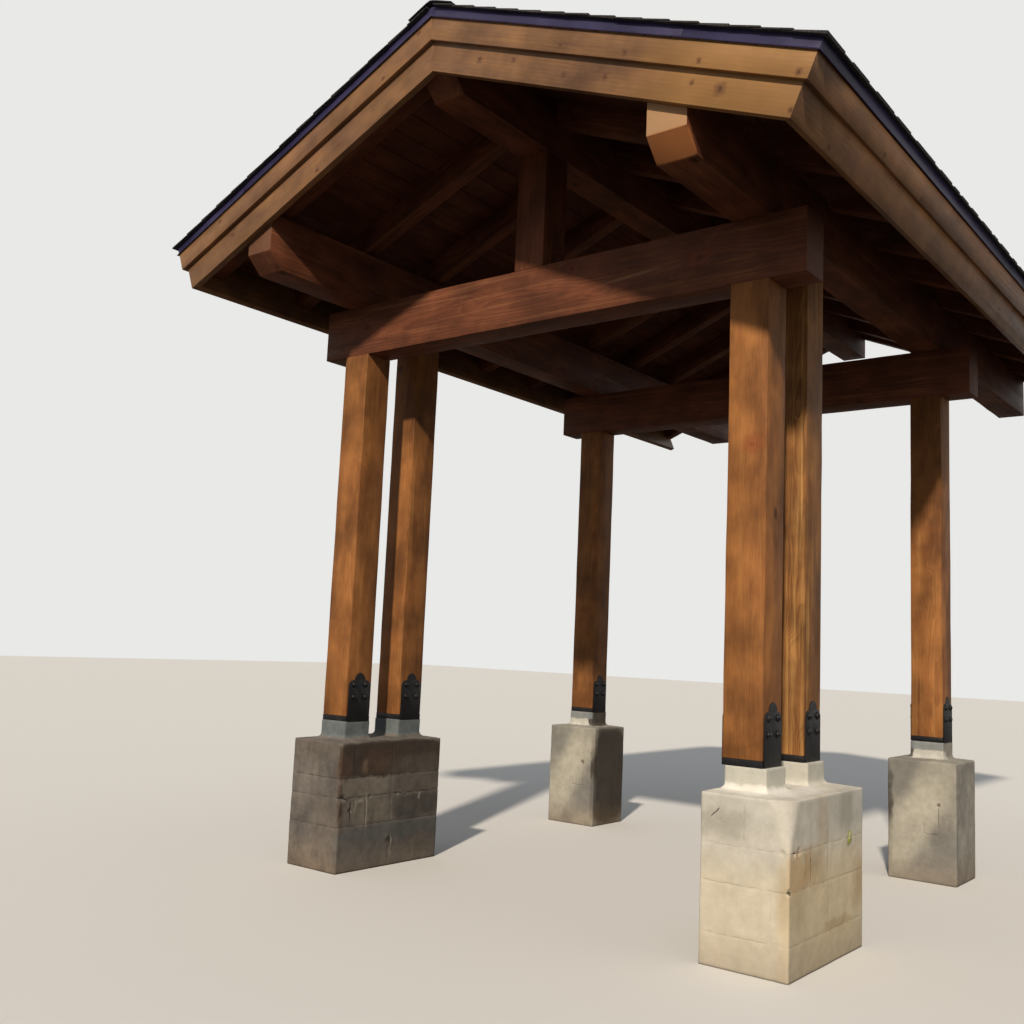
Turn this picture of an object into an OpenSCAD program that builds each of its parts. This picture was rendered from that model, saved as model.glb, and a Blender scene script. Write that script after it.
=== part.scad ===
/* [Piers] */
// Height of every pier, from the ground to its top edge
pier_h = 710; // [500:10:900]
// Width of the ledge on each side of a post's pad
ledge_w = 103; // [90:1:140]
// Width of the ledge in front of the first pad of a front pier
front_ledge_w = 106; // [90:1:140]
// Width of the ledge behind the second pad of a front pier
rear_ledge_w = 81; // [70:1:120]
// Width of the narrow inner ledge of the front right pier, which stands off centre
narrow_ledge_w = 53; // [34:1:70]
// How far the pads of the front right pier stand outwards of their posts
right_pad_shift = 18; // [0:1:30]
// Rise of the mortar slope from a pier's edge to its pads
wash_rise = 10; // [4:1:20]
// Height of the raised pad under each post, above the pier's top edge
pad_h = 111; // [80:1:160]
// How far a pad is wider than its post on each side
pad_margin = 4; // [2:1:20]
// Radius of the cove at the foot of a pad
pad_cove = 26; // [8:1:30]

/* [Post bases] */
// Height of the steel shoe between pad and post
shoe_h = 30; // [15:1:50]
// Wall of the hollow steel shoe
shoe_wall = 8; // [5:1:12]
// Thickness of the upright side plates
plate_t = 6; // [4:1:10]
// How far a side plate stays inside the edges of its post
plate_inset = 11; // [5:1:20]
// Height of the straight part of a side plate
plate_body_h = 201; // [160:1:240]
// Radius of the round shoulders of a side plate
plate_shoulder_r = 36; // [24:1:44]
// Width of a side plate's pointed top, in percent of its flat top
plate_tip_width_percent = 80; // [40:5:95]
// Height of the pointed top, in percent of half its width
plate_tip_height_percent = 110; // [100:5:180]

/* [Posts] */
// Side of a square post, also the thickness of every beam
post_w = 190; // [160:2:220]
// Width between the middles of the left and right posts
post_span = 2575; // [2200:5:3200]
// Clear gap between the two posts on a front pier
post_gap = 247; // [200:1:260]
// Distance from the front tie beam to the rear tie beam, face to face
bay_depth = 2540; // [1800:10:2700]
// Height from a pier's top edge to the underside of the tie beams
post_top_h = 2286; // [2000:2:2600]

/* [Beams] */
// Depth of the tie beams
tie_h = 302; // [240:2:340]
// How far a tie beam runs past the outer face of its posts
tie_overhang = 178; // [60:2:240]
// Depth of the side beams
side_h = 302; // [240:2:340]
// Depth of the ridge beam at its sides
ridge_h = 315; // [240:1:340]
// Chamfer on the lower front corner of the side and ridge beams
beam_chamfer = 92; // [60:2:120]

/* [Rafters] */
// Slope of the roof in degrees, here 5 in 12
pitch_deg = 22.62; // [18:0.01:27]
// Width of a rafter
rafter_w = 89; // [60:1:100]
// Depth of a rafter
rafter_h = 140; // [120:1:180]
// Width of the doubled rafter behind the rake boards
fly_rafter_w = 178; // [89:1:200]
// Spacing of the rafters from middle to middle
rafter_spacing = 610; // [500:5:700]
// How far the first left rafter over the frame stands in front of the tie beam's face
rafter_lead = 24; // [0:1:60]
// How far the right rafters stand behind the left ones, beside them at the ridge
right_rafter_lag = 89; // [0:1:120]
// Depth of the notch where a rafter sits on the side beam
seat_cut = 26; // [15:1:45]
// Level distance from the side beam to the end of a rafter
eave_overhang = 512; // [300:2:700]

/* [Roof] */
// Whole depth of the roof, from its front edge to the wall
roof_depth = 5610; // [5000:10:6500]
// Distance from the front ends of the beams to the front tie beam
gable_overhang = 778; // [500:2:900]
// Thickness of the roof boards
decking_t = 38; // [20:1:45]
// Thickness of the sheathing over the boards
sheathing_t = 12; // [9:1:20]
// Length of a shingle course that shows
shingle_exposure = 143; // [120:1:150]
// Thickness of a shingle course at its lower edge
shingle_butt_t = 12; // [8:1:16]
// Thickness of a shingle course at its upper edge
shingle_lap_t = 6; // [4:1:7]
// How far the shingles reach past the drip edge
shingle_overhang = 12; // [5:1:25]
// Width of the ridge cap on each slope
cap_w = 150; // [144:1:200]
// Thickness of the ridge cap
cap_t = 6; // [4:1:10]

/* [Trim] */
// Thickness of the lower trim board
lower_t = 38; // [25:1:45]
// Width of the lower trim board
lower_w = 245; // [200:1:260]
// Thickness of the upper trim board
upper_t = 24; // [18:1:32]
// Width of the upper trim board
upper_w = 106; // [80:1:140]
// Thickness of the metal drip edge
drip_t = 2; // [1:0.5:3]
// How far the hem of the drip edge kicks out
drip_kick = 12; // [8:1:20]
// Height of the drip edge's hem
drip_hem_h = 9; // [6:1:12]
// Width of the drip edge's flange under the shingles
drip_flange = 60; // [40:1:80]

/* [Hidden] */
post_x = post_span / 2;
beam_out_x = post_x + post_w / 2;
pad_w = post_w + 2 * pad_margin;
pad_gap = post_gap - 2 * pad_margin;
pier_w = pad_w + 2 * ledge_w;
pier_d = front_ledge_w + pad_w + pad_gap + pad_w + rear_ledge_w;
right_pier_shift = ledge_w - narrow_ledge_w;
plate_w = post_w - 2 * plate_inset;

pad_z = pier_h + pad_h;
post_z = pad_z + shoe_h;
tie_z = pier_h + post_top_h;
side_z = tie_z + tie_h;
seat_z = side_z + side_h;

rafter_plumb_h = rafter_h / cos(pitch_deg);
peak_z = seat_z - seat_cut + rafter_plumb_h + beam_out_x * tan(pitch_deg);
ridge_side_z = peak_z - post_w / 2 * tan(pitch_deg);
ridge_z = ridge_side_z - ridge_h;

edge_y = -roof_depth / 2;
wall_y = roof_depth / 2;
trim_d = shingle_overhang + drip_kick + upper_t + lower_t;
frame_y = edge_y + trim_d;
tie_y = frame_y + gable_overhang;
rear_tie_y = tie_y + bay_depth;
pier_y = tie_y - pad_margin - front_ledge_w;
rear_pier_y = rear_tie_y + post_w / 2 - pier_w / 2;
second_post_y = tie_y + post_w + post_gap;

frame_s = (beam_out_x + eave_overhang) / cos(pitch_deg);
edge_s = frame_s + trim_d;
sheathing_top = decking_t + sheathing_t;
shingle_n = sheathing_top + drip_t;
ridge_reach = 300;
clip = 12000;
past = 1;
first_rafter_y = tie_y - rafter_lead;
last_rafter_y = wall_y - rafter_w;

mortar = "#c9c2b4";
steel = "#26262a";
stain = "#8a5a3c";
sunlit_stain = "#a9713f";
trim_paint = "#b08d62";
drip_paint = "#6d6684";
asphalt = "#2c2b2e";

// Puts a shape on the right side, or mirrors it to the left side
module side(s) {
    mirror([s < 0 ? 1 : 0, 0, 0]) children();
}

// Piers
module coved_profile(w, h, cove) {
    translate([-w / 2, 0]) square([w, h]);
    for (s = [-1, 1])
        difference() {
            translate([s * (w + cove) / 2 - cove / 2, 0]) square([cove, cove]);
            translate([s * (w / 2 + cove), cove]) circle(r = cove, $fn = 48);
        }
}

module pad(y) {
    reach = pad_w + 2 * pad_cove;
    translate([0, y, pier_h + wash_rise])
        intersection() {
            translate([0, reach / 2, 0]) rotate([90, 0, 0])
                linear_extrude(reach) coved_profile(pad_w, pad_h - wash_rise, pad_cove);
            translate([-reach / 2, 0, 0]) rotate([90, 0, 90])
                linear_extrude(reach) coved_profile(pad_w, pad_h - wash_rise, pad_cove);
        }
}

module wash_profile(w, low_run, high_run) {
    polygon([
        [-w / 2, 0], [w / 2, 0], [w / 2 - high_run, wash_rise], [low_run - w / 2, wash_rise]
    ]);
}

// The ledges are given in order: towards the middle, outwards, in front and behind
module pier_block(x, y, d, ledges) {
    run = [for (ledge = ledges) ledge - pad_cove];
    translate([x, y + d / 2, 0]) {
        translate([-pier_w / 2, -d / 2, 0]) cube([pier_w, d, pier_h]);
        translate([0, 0, pier_h])
            intersection() {
                translate([0, d / 2, 0]) rotate([90, 0, 0])
                    linear_extrude(d) wash_profile(pier_w, run[0], run[1]);
                translate([-pier_w / 2, 0, 0]) rotate([90, 0, 90])
                    linear_extrude(pier_w) wash_profile(d, run[2], run[3]);
            }
    }
}

module front_pier(s, pad_shift, pier_shift) {
    pad_x = post_x + pad_shift;
    color(mortar) side(s) {
        pier_block(
            pad_x + pier_shift, pier_y, pier_d,
            [ledge_w - pier_shift, ledge_w + pier_shift, front_ledge_w, rear_ledge_w]
        );
        for (y = [tie_y, second_post_y])
            translate([pad_x, 0, 0]) pad(y + post_w / 2);
    }
}

module rear_pier(s) {
    color(mortar) side(s) {
        pier_block(post_x, rear_pier_y, pier_w, [ledge_w, ledge_w, ledge_w, ledge_w]);
        translate([post_x, 0, 0]) pad(rear_tie_y + post_w / 2);
    }
}

module pier_front_left() { front_pier(-1, 0, 0); }
module pier_front_right() { front_pier(1, right_pad_shift, right_pier_shift); }
module pier_rear_left() { rear_pier(-1); }
module pier_rear_right() { rear_pier(1); }

// Steel post bases
module pointed_arch(half_w, h) {
    r = (half_w + h * h / half_w) / 2;
    intersection() {
        translate([r - half_w, 0]) circle(r = r, $fn = 64);
        translate([half_w - r, 0]) circle(r = r, $fn = 64);
        translate([-half_w, 0]) square([2 * half_w, h]);
    }
}

module plate_outline() {
    shoulder_x = plate_w / 2 - plate_shoulder_r;
    tip_half_w = shoulder_x * plate_tip_width_percent / 100;
    tip_h = tip_half_w * plate_tip_height_percent / 100;
    translate([-plate_w / 2, 0]) square([plate_w, plate_body_h]);
    translate([-shoulder_x, plate_body_h]) square([2 * shoulder_x, plate_shoulder_r]);
    for (s = [-1, 1])
        translate([s * shoulder_x, plate_body_h]) circle(r = plate_shoulder_r, $fn = 48);
    translate([0, plate_body_h + plate_shoulder_r]) pointed_arch(tip_half_w, tip_h);
}

module post_base(s, y) {
    inner = post_w - 2 * shoe_wall;
    color(steel) side(s) translate([post_x, y + post_w / 2, pad_z]) {
        difference() {
            translate([-post_w / 2, -post_w / 2, 0]) cube([post_w, post_w, shoe_h]);
            translate([-inner / 2, -inner / 2, -past])
                cube([inner, inner, shoe_h - shoe_wall + past]);
        }
        for (x = [-post_w / 2 - plate_t, post_w / 2])
            translate([x, 0, 0]) rotate([90, 0, 90]) linear_extrude(plate_t) plate_outline();
    }
}

module base_front_left() { post_base(-1, tie_y); }
module base_second_left() { post_base(-1, second_post_y); }
module base_rear_left() { post_base(-1, rear_tie_y); }
module base_front_right() { post_base(1, tie_y); }
module base_second_right() { post_base(1, second_post_y); }
module base_rear_right() { post_base(1, rear_tie_y); }

// Posts
module post(s, y, top_z) {
    color(sunlit_stain) side(s)
        translate([post_x - post_w / 2, y, post_z]) cube([post_w, post_w, top_z - post_z]);
}

module post_front_left() { post(-1, tie_y, tie_z); }
module post_second_left() { post(-1, second_post_y, side_z); }
module post_rear_left() { post(-1, rear_tie_y, tie_z); }
module post_front_right() { post(1, tie_y, tie_z); }
module post_second_right() { post(1, second_post_y, side_z); }
module post_rear_right() { post(1, rear_tie_y, tie_z); }

// Beams and king posts
module tie_beam(y) {
    half_l = beam_out_x + tie_overhang;
    color(stain) translate([-half_l, y, tie_z]) cube([2 * half_l, post_w, tie_h]);
}

module chamfered_beam_profile(h) {
    polygon([
        [frame_y, beam_chamfer], [frame_y + beam_chamfer, 0], [wall_y, 0], [wall_y, h], [frame_y, h]
    ]);
}

module side_beam(s) {
    color(stain) side(s)
        translate([post_x - post_w / 2, 0, side_z]) rotate([90, 0, 90])
            linear_extrude(post_w) chamfered_beam_profile(side_h);
}

module king_post(y) {
    color(stain) translate([-post_w / 2, y, side_z]) cube([post_w, post_w, ridge_z - side_z]);
}

module front_tie_beam() { tie_beam(tie_y); }
module rear_tie_beam() { tie_beam(rear_tie_y); }
module left_side_beam() { side_beam(-1); }
module right_side_beam() { side_beam(1); }
module front_king_post() { king_post(tie_y); }
module rear_king_post() { king_post(rear_tie_y); }

module ridge_beam() {
    peak_h = peak_z - ridge_z;
    half_w = post_w / 2;
    color(stain)
        intersection() {
            translate([-half_w, 0, ridge_z]) rotate([90, 0, 90])
                linear_extrude(post_w) chamfered_beam_profile(peak_h);
            translate([0, wall_y, ridge_z]) rotate([90, 0, 0])
                linear_extrude(wall_y - frame_y)
                    polygon([
                        [-half_w, 0], [half_w, 0], [half_w, ridge_h], [0, peak_h], [-half_w, ridge_h]
                    ]);
        }
}

// Lays a shape on a slope: X runs down the slope from the peak, Z stands square to it
module on_slope(s, from_x) {
    side(s)
        intersection() {
            translate([0, 0, peak_z]) rotate([0, pitch_deg, 0]) children();
            translate([from_x, -clip / 2, 0]) cube([clip, clip, clip]);
        }
}

// Each rafter is given by the place of its front face and by its width
function rafter_rows(lag) = concat(
    [[frame_y, fly_rafter_w]],
    [
        for (y = first_rafter_y + lag; y < last_rafter_y - rafter_w; y = y + rafter_spacing)
            [y, rafter_w]
    ],
    [[last_rafter_y, rafter_w]]
);

// Rafters, notched over the side beam and cut plumb at the ridge beam
module rafters(s, lag) {
    color(stain)
        difference() {
            on_slope(s, post_w / 2)
                for (row = rafter_rows(lag))
                    translate([0, row[0], -rafter_h]) cube([frame_s, row[1], rafter_h]);
            side(s)
                translate([0, edge_y, side_z]) cube([beam_out_x, roof_depth, side_h]);
        }
}

module left_rafters() { rafters(-1, 0); }
module right_rafters() { rafters(1, right_rafter_lag); }

// Boards and sheathing
module roof_layer(s, n, t, paint) {
    deck_d = lower_t + upper_t;
    color(paint) on_slope(s, 0)
        translate([-ridge_reach, frame_y - deck_d, n])
            cube([ridge_reach + frame_s + deck_d, wall_y - frame_y + deck_d, t]);
}

module left_decking() { roof_layer(-1, 0, decking_t, stain); }
module right_decking() { roof_layer(1, 0, decking_t, stain); }
module left_sheathing() { roof_layer(-1, decking_t, sheathing_t, trim_paint); }
module right_sheathing() { roof_layer(1, decking_t, sheathing_t, trim_paint); }

// Trim: one section runs up the rake and along the eave, and the two meet in a mitre
module rake_side() {
    linear_extrude(clip, center = true)
        polygon([
            [-ridge_reach, edge_y - past], [edge_s + past, edge_y - past],
            [edge_s - ridge_reach, edge_y + ridge_reach], [-ridge_reach, edge_y + ridge_reach]
        ]);
}

module eave_side() {
    linear_extrude(clip, center = true)
        polygon([
            [edge_s + past, edge_y - past], [edge_s + past, wall_y],
            [edge_s - ridge_reach, wall_y], [edge_s - ridge_reach, edge_y + ridge_reach]
        ]);
}

module rake_run(s) {
    on_slope(s, 0)
        intersection() {
            translate([edge_s + past, frame_y, 0]) rotate([90, 0, -90])
                linear_extrude(edge_s + past + ridge_reach) children();
            rake_side();
        }
}

module eave_run(s) {
    on_slope(s, 0)
        intersection() {
            translate([frame_s, wall_y, 0]) rotate([90, 0, 0])
                linear_extrude(roof_depth + past) children();
            eave_side();
        }
}

module lower_section() { translate([0, -lower_w]) square([lower_t, lower_w]); }
module upper_section() { translate([lower_t, -upper_w]) square([upper_t, upper_w]); }
module drip_section() {
    translate([lower_t + upper_t, sheathing_top])
        polygon([
            [-drip_flange, 0], [-drip_flange, drip_t], [drip_t, drip_t],
            [drip_t, drip_hem_h - sheathing_top], [drip_kick, -sheathing_top],
            [drip_kick - drip_t, -sheathing_top], [0, drip_hem_h - sheathing_top], [0, 0]
        ]);
}

module left_rake_lower() { color(trim_paint) rake_run(-1) lower_section(); }
module right_rake_lower() { color(trim_paint) rake_run(1) lower_section(); }
module left_rake_upper() { color(trim_paint) rake_run(-1) upper_section(); }
module right_rake_upper() { color(trim_paint) rake_run(1) upper_section(); }
module left_eave_lower() { color(trim_paint) eave_run(-1) lower_section(); }
module right_eave_lower() { color(trim_paint) eave_run(1) lower_section(); }
module left_eave_upper() { color(trim_paint) eave_run(-1) upper_section(); }
module right_eave_upper() { color(trim_paint) eave_run(1) upper_section(); }
module left_rake_drip() { color(drip_paint) rake_run(-1) drip_section(); }
module right_rake_drip() { color(drip_paint) rake_run(1) drip_section(); }
module left_eave_drip() { color(drip_paint) eave_run(-1) drip_section(); }
module right_eave_drip() { color(drip_paint) eave_run(1) drip_section(); }

// Shingles: each course laps the one below it
module shingle_section() {
    courses = ceil((edge_s + ridge_reach) / shingle_exposure);
    polygon(concat(
        [[edge_s - courses * shingle_exposure, 0], [edge_s, 0]],
        [for (i = [0 : courses - 1]) each [
            [edge_s - i * shingle_exposure, shingle_butt_t],
            [edge_s - (i + 1) * shingle_exposure, shingle_lap_t]
        ]]
    ));
}

module shingles(s) {
    color(asphalt) on_slope(s, 0)
        translate([0, wall_y, shingle_n]) rotate([90, 0, 0])
            linear_extrude(roof_depth) shingle_section();
}

module left_shingles() { shingles(-1); }
module right_shingles() { shingles(1); }

module ridge_cap() {
    color(asphalt)
        for (s = [-1, 1])
            on_slope(s, 0)
                translate([-ridge_reach, edge_y, shingle_n + shingle_butt_t])
                    cube([ridge_reach + cap_w, roof_depth, cap_t]);
}

pier_front_left();
pier_front_right();
pier_rear_left();
pier_rear_right();
base_front_left();
base_second_left();
base_rear_left();
base_front_right();
base_second_right();
base_rear_right();
post_front_left();
post_second_left();
post_rear_left();
post_front_right();
post_second_right();
post_rear_right();
front_tie_beam();
rear_tie_beam();
left_side_beam();
right_side_beam();
ridge_beam();
front_king_post();
rear_king_post();
left_rafters();
right_rafters();
left_decking();
right_decking();
left_sheathing();
right_sheathing();
left_rake_lower();
right_rake_lower();
left_rake_upper();
right_rake_upper();
left_eave_lower();
right_eave_lower();
left_eave_upper();
right_eave_upper();
left_rake_drip();
right_rake_drip();
left_eave_drip();
right_eave_drip();
left_shingles();
right_shingles();
ridge_cap();
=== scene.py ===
# %% [markdown]
# # A timber porch canopy
# The real canopy is a heavy timber frame on parged block piers, with a
# shingled gable roof. The CAD model gives every part its true size and
# place, so this lesson loads it as a frame and dresses it part by part:
# each timber gets worn edges and grain, each pier its trowelled coat, and
# the roof its separate boards and shingles.

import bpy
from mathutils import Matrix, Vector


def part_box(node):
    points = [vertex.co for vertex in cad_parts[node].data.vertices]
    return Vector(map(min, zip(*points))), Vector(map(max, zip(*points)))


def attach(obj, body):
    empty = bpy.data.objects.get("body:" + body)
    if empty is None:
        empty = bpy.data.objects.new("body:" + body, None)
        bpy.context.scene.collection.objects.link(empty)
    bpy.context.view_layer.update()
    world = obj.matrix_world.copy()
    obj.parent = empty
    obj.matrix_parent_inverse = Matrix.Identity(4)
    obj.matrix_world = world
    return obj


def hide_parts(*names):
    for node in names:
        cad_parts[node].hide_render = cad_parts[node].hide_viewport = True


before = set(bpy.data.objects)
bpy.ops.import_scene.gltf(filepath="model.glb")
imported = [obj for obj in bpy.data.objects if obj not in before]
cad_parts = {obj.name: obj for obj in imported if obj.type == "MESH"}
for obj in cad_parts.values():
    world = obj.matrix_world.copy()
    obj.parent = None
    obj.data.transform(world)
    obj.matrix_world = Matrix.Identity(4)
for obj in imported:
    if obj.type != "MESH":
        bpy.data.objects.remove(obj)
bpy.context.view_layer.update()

import math
import random
from contextlib import contextmanager
from functools import partial
from itertools import product

import bpy
from mathutils import Euler, Matrix, Vector

# %% [markdown]
# Sizes that repeat are taken from the CAD boxes where a box shows them.
# The roof's layers lie at a slope, so their thicknesses are named here.
# On a slope, s is the distance down from the peak, y runs to the back and
# n stands square to the slope, with n = 0 on top of the rafters.

# %% Sizes
PITCH = math.radians(22.62)
PEAK_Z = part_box("ridge_beam")[1].z
HALF_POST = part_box("ridge_beam")[1].x
FRAME_Y, BACK_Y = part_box("left_side_beam")[0].y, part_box("left_side_beam")[1].y
EDGE_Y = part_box("left_shingles")[0].y
FRAME_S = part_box("right_rafters")[1].x / math.cos(PITCH)
EDGE_S = FRAME_S + (FRAME_Y - EDGE_Y)
SEAT_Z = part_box("left_side_beam")[1].z
BEAM_OUT_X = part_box("right_side_beam")[1].x

RAFTER_W, RAFTER_H, RAFTER_GAP = 0.089, 0.140, 0.610
BEAM_CHAMFER = 0.092
# What is cut plumb at the peak starts this far past it
PAST_PEAK = -0.2
DECK_T, SHEATHING_T, DRIP_T = 0.038, 0.012, 0.002
LOWER_T, LOWER_W = 0.038, 0.245
UPPER_T, UPPER_W = 0.024, 0.106
SHINGLE_N = DECK_T + SHEATHING_T + DRIP_T
EXPOSURE = 0.143
PIER_H, WASH_RISE, PAD_COVE, PAD_MARGIN = 0.710, 0.010, 0.026, 0.004
print("peak", round(PEAK_Z, 4), "frame edge", round(FRAME_S, 4), "roof edge", round(EDGE_S, 4))

# %% [markdown]
# A few helpers stand in for the hand: one clears the selection, one adds a
# block at its size and place, one picks points, edges or faces by where
# they are, and one cuts along a plane. Operators act on all that is
# selected, so each helper starts from an empty selection.

# %% Modelling helpers
def start_clean():
    bpy.ops.object.select_all(action="DESELECT")


def choose(*pieces):
    start_clean()
    for piece in pieces:
        piece.select_set(True)
    bpy.context.view_layer.objects.active = pieces[0]


def settle_transform():
    bpy.ops.object.transform_apply(location=True, rotation=True, scale=True)


def block(low, high):
    """Adds a block between two corners and leaves it active."""
    start_clean()
    low, high = Vector(low), Vector(high)
    bpy.ops.mesh.primitive_cube_add(size=1, location=(low + high) / 2, scale=high - low)
    settle_transform()
    return bpy.context.object


@contextmanager
def picked(kind, test=lambda *place: True):
    """Opens the active piece for edits to its VERT, EDGE or FACE parts that pass a test."""
    mesh = bpy.context.object.data
    for parts in (mesh.vertices, mesh.edges, mesh.polygons):
        parts.foreach_set("select", [False] * len(parts))
    if kind == "FACE":
        for face in mesh.polygons:
            face.select = test(face.center, face.normal)
    elif kind == "EDGE":
        for edge in mesh.edges:
            a, b = (mesh.vertices[i].co for i in edge.vertices)
            edge.select = test((a + b) / 2, (b - a).normalized())
    else:
        for vertex in mesh.vertices:
            vertex.select = test(vertex.co)
    bpy.context.tool_settings.mesh_select_mode = [kind == k for k in ("VERT", "EDGE", "FACE")]
    bpy.ops.object.mode_set(mode="EDIT")
    yield
    bpy.ops.object.mode_set(mode="OBJECT")


def face_outwards():
    with picked("FACE"):
        bpy.ops.mesh.normals_make_consistent(inside=False)


def extrude(move):
    bpy.ops.mesh.extrude_region_move(TRANSFORM_OT_translate={"value": move})


def cut(point, normal, fill=True):
    """Cuts the active piece along a plane and throws away the side the normal points to."""
    bpy.ops.object.mode_set(mode="EDIT")
    bpy.ops.mesh.select_all(action="SELECT")
    bpy.ops.mesh.bisect(plane_co=point, plane_no=normal, use_fill=fill, clear_outer=True)
    bpy.ops.object.mode_set(mode="OBJECT")


def apply_modifier(kind, **settings):
    """Adds a modifier to the active piece, sets it and applies it."""
    piece = bpy.context.object
    modifier = piece.modifiers.new(kind.title(), kind)
    for key, value in settings.items():
        setattr(modifier, key, value)
    bpy.ops.object.modifier_apply(modifier=modifier.name)


def combine(piece, other, operation):
    """Cuts a piece by another, unites them or leaves their overlap. The other is used up."""
    choose(piece)
    apply_modifier("BOOLEAN", operation=operation, object=other, solver="EXACT")
    bpy.data.objects.remove(other)


def ease_edges(width, segments=2):
    """Rounds every sharp edge a little, as a plane, a router or wear does."""
    apply_modifier("BEVEL", width=width, segments=segments, limit_method="ANGLE",
                   angle_limit=math.radians(35), harden_normals=False)
    bpy.ops.object.shade_smooth_by_angle(angle=math.radians(30))


def copy_of(piece, move=(0, 0, 0), stretch=(1, 1, 1), turn=0):
    """Copies a piece with its own mesh, to another place."""
    twin = piece.copy()
    twin.data = piece.data.copy()
    bpy.context.scene.collection.objects.link(twin)
    twin.location = Vector(move)
    twin.scale = stretch
    twin.rotation_euler.z = turn
    return twin


def join(pieces):
    choose(*pieces)
    bpy.ops.object.join()
    settle_transform()
    return bpy.context.object


def keep(piece, kind, node, material=None, stands_in=True):
    """Names a finished piece and gives it its material. It stands in for its CAD node."""
    choose(piece)
    settle_transform()
    piece.name = piece.data.name = f"{kind}_{node}"
    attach(piece, "root")
    if stands_in:
        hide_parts(node)
    if material:
        piece.data.materials.append(material)
    print(piece.name, "faces", len(piece.data.polygons))


# %% [markdown]
# Work on a roof slope is easiest lying flat, with X as the slope. The
# finished shape is then turned to the pitch, lifted to the peak and, for
# the left side, mirrored. A mirrored mesh is inside out, so its normals
# are made consistent again.

# %% Lay flat work on a slope
RIGHT, LEFT = 1, -1
SIDE_NAME = {RIGHT: "right", LEFT: "left"}


def lay_on_slope(side):
    piece = bpy.context.object
    piece.rotation_euler = (0, PITCH, 0)
    piece.location = (0, 0, PEAK_Z)
    settle_transform()
    if side == LEFT:
        piece.scale = (-1, 1, 1)
        settle_transform()
        face_outwards()
    return piece


def cut_at_peak(side):
    """Cuts off what lies past the peak, on the other slope."""
    cut((0, 0, 0), (-side, 0, 0))


def on_slope(side, s, y, n):
    """A point of the roof slope in the frame's own X, Y and Z."""
    return Vector((side * (s * math.cos(PITCH) + n * math.sin(PITCH)), y,
                   PEAK_Z - s * math.sin(PITCH) + n * math.cos(PITCH)))


print("front left corner of the roof:", on_slope(LEFT, EDGE_S, EDGE_Y, SHINGLE_N))

# %% [markdown]
# ## Camera, floor and light
# The camera stands where the photographer stood, which was worked out
# from the corners of the frame. A soft sun shines from the front and a
# pale sky lights the rest plainly. The floor looks pale to the camera but
# throws little light back up, so the underside of the roof keeps its
# depth.

# %% Colour and node helpers
def tone(hex_code):
    """Turns an sRGB hex code into a linear colour."""
    def straight(v):
        return v / 12.92 if v <= 0.04045 else ((v + 0.055) / 1.055) ** 2.4
    return [straight(int(hex_code[i:i + 2], 16) / 255) for i in (1, 3, 5)] + [1.0]


def wire(node, values):
    """Sets a node's options and sockets by name or number. A node among the values is linked."""
    for key, value in values.items():
        if isinstance(value, bpy.types.Node):
            value = next(socket for socket in value.outputs if socket.enabled)
        if isinstance(value, bpy.types.NodeSocket):
            node.id_data.links.new(value, node.inputs[key])
        elif isinstance(key, int) or key in node.inputs:
            node.inputs[key].default_value = value
        else:
            setattr(node, key, value)


def add_node(tree, kind, values=None):
    """Adds one shader node with its settings and links."""
    node = tree.nodes.new("ShaderNode" + kind)
    wire(node, values or {})
    return node


def new_material(name):
    """A new material, its shader, and a short way to add a node to it."""
    material = bpy.data.materials.new(name)
    material.use_nodes = True
    tree = material.node_tree
    return material, tree.nodes["Principled BSDF"], partial(add_node, tree)


print("helpers for nodes ready")


# %% Camera
LENS_MM, SENSOR_MM = 37.582, 36


def set_camera():
    camera_data = bpy.data.cameras.new("view")
    camera_data.sensor_width, camera_data.lens = SENSOR_MM, LENS_MM
    camera = bpy.data.objects.new("view", camera_data)
    right = Vector((0.78633737, 0.6162522, 0.04366664))
    up = Vector((0.04268683, -0.1247085, 0.99127475))
    back = Vector((0.61632084, -0.77761238, -0.12436881))
    turn = Matrix((right, up, back)).transposed().to_4x4()
    camera.matrix_world = Matrix.Translation((3.39949, -6.27770, 1.29311)) @ turn
    bpy.context.scene.collection.objects.link(camera)
    bpy.context.scene.camera = camera


set_camera()
bpy.context.scene.view_settings.view_transform = "Standard"
print("lens in millimetres:", LENS_MM)


# %% Floor, sky and sun
def pale_floor():
    start_clean()
    bpy.ops.mesh.primitive_plane_add(size=80, location=(0, 0, 0))
    floor = bpy.context.object
    floor.name = "floor"
    material, shader, add = new_material("pale floor")
    ray = add("LightPath").outputs
    seen = add("Mix", {"data_type": "RGBA", 0: ray["Is Camera Ray"], 6: tone("#5e5953"),
                       7: tone("#e4e2de")})
    wire(shader, {"Base Color": seen, "Roughness": 0.95})
    floor.data.materials.append(material)


def pale_sky():
    world = bpy.data.worlds.new("studio")
    world.use_nodes = True
    world.node_tree.nodes.clear()
    add = partial(add_node, world.node_tree)
    ray = add("LightPath").outputs
    mirror = add("Math", {"operation": "MAXIMUM", 0: ray["Is Glossy Ray"],
                          1: ray["Is Transmission Ray"]})
    shown = add("Math", {"operation": "MAXIMUM", 0: ray["Is Camera Ray"], 1: mirror})
    lamp = add("Background", {"Color": tone("#e6ebf2"), "Strength": 0.35})
    wall = add("Background", {"Color": tone("#e9e9e7"), "Strength": 1.0})
    both = add("MixShader", {0: shown, 1: lamp, 2: wall})
    add("OutputWorld", {"Surface": both})
    bpy.context.scene.world = world


def soft_sun():
    light = bpy.data.lights.new("soft sun", "SUN")
    light.energy = 3.3
    light.angle = math.radians(2.5)
    light.color = tone("#fff2e0")[:3]
    sun = bpy.data.objects.new("soft sun", light)
    sun.rotation_euler = Vector((0.31, -0.77, 0.56)).to_track_quat("Z", "Y").to_euler()
    bpy.context.scene.collection.objects.link(sun)


pale_floor()
pale_sky()
soft_sun()
print("lights:", [light.name for light in bpy.data.lights])

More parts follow.
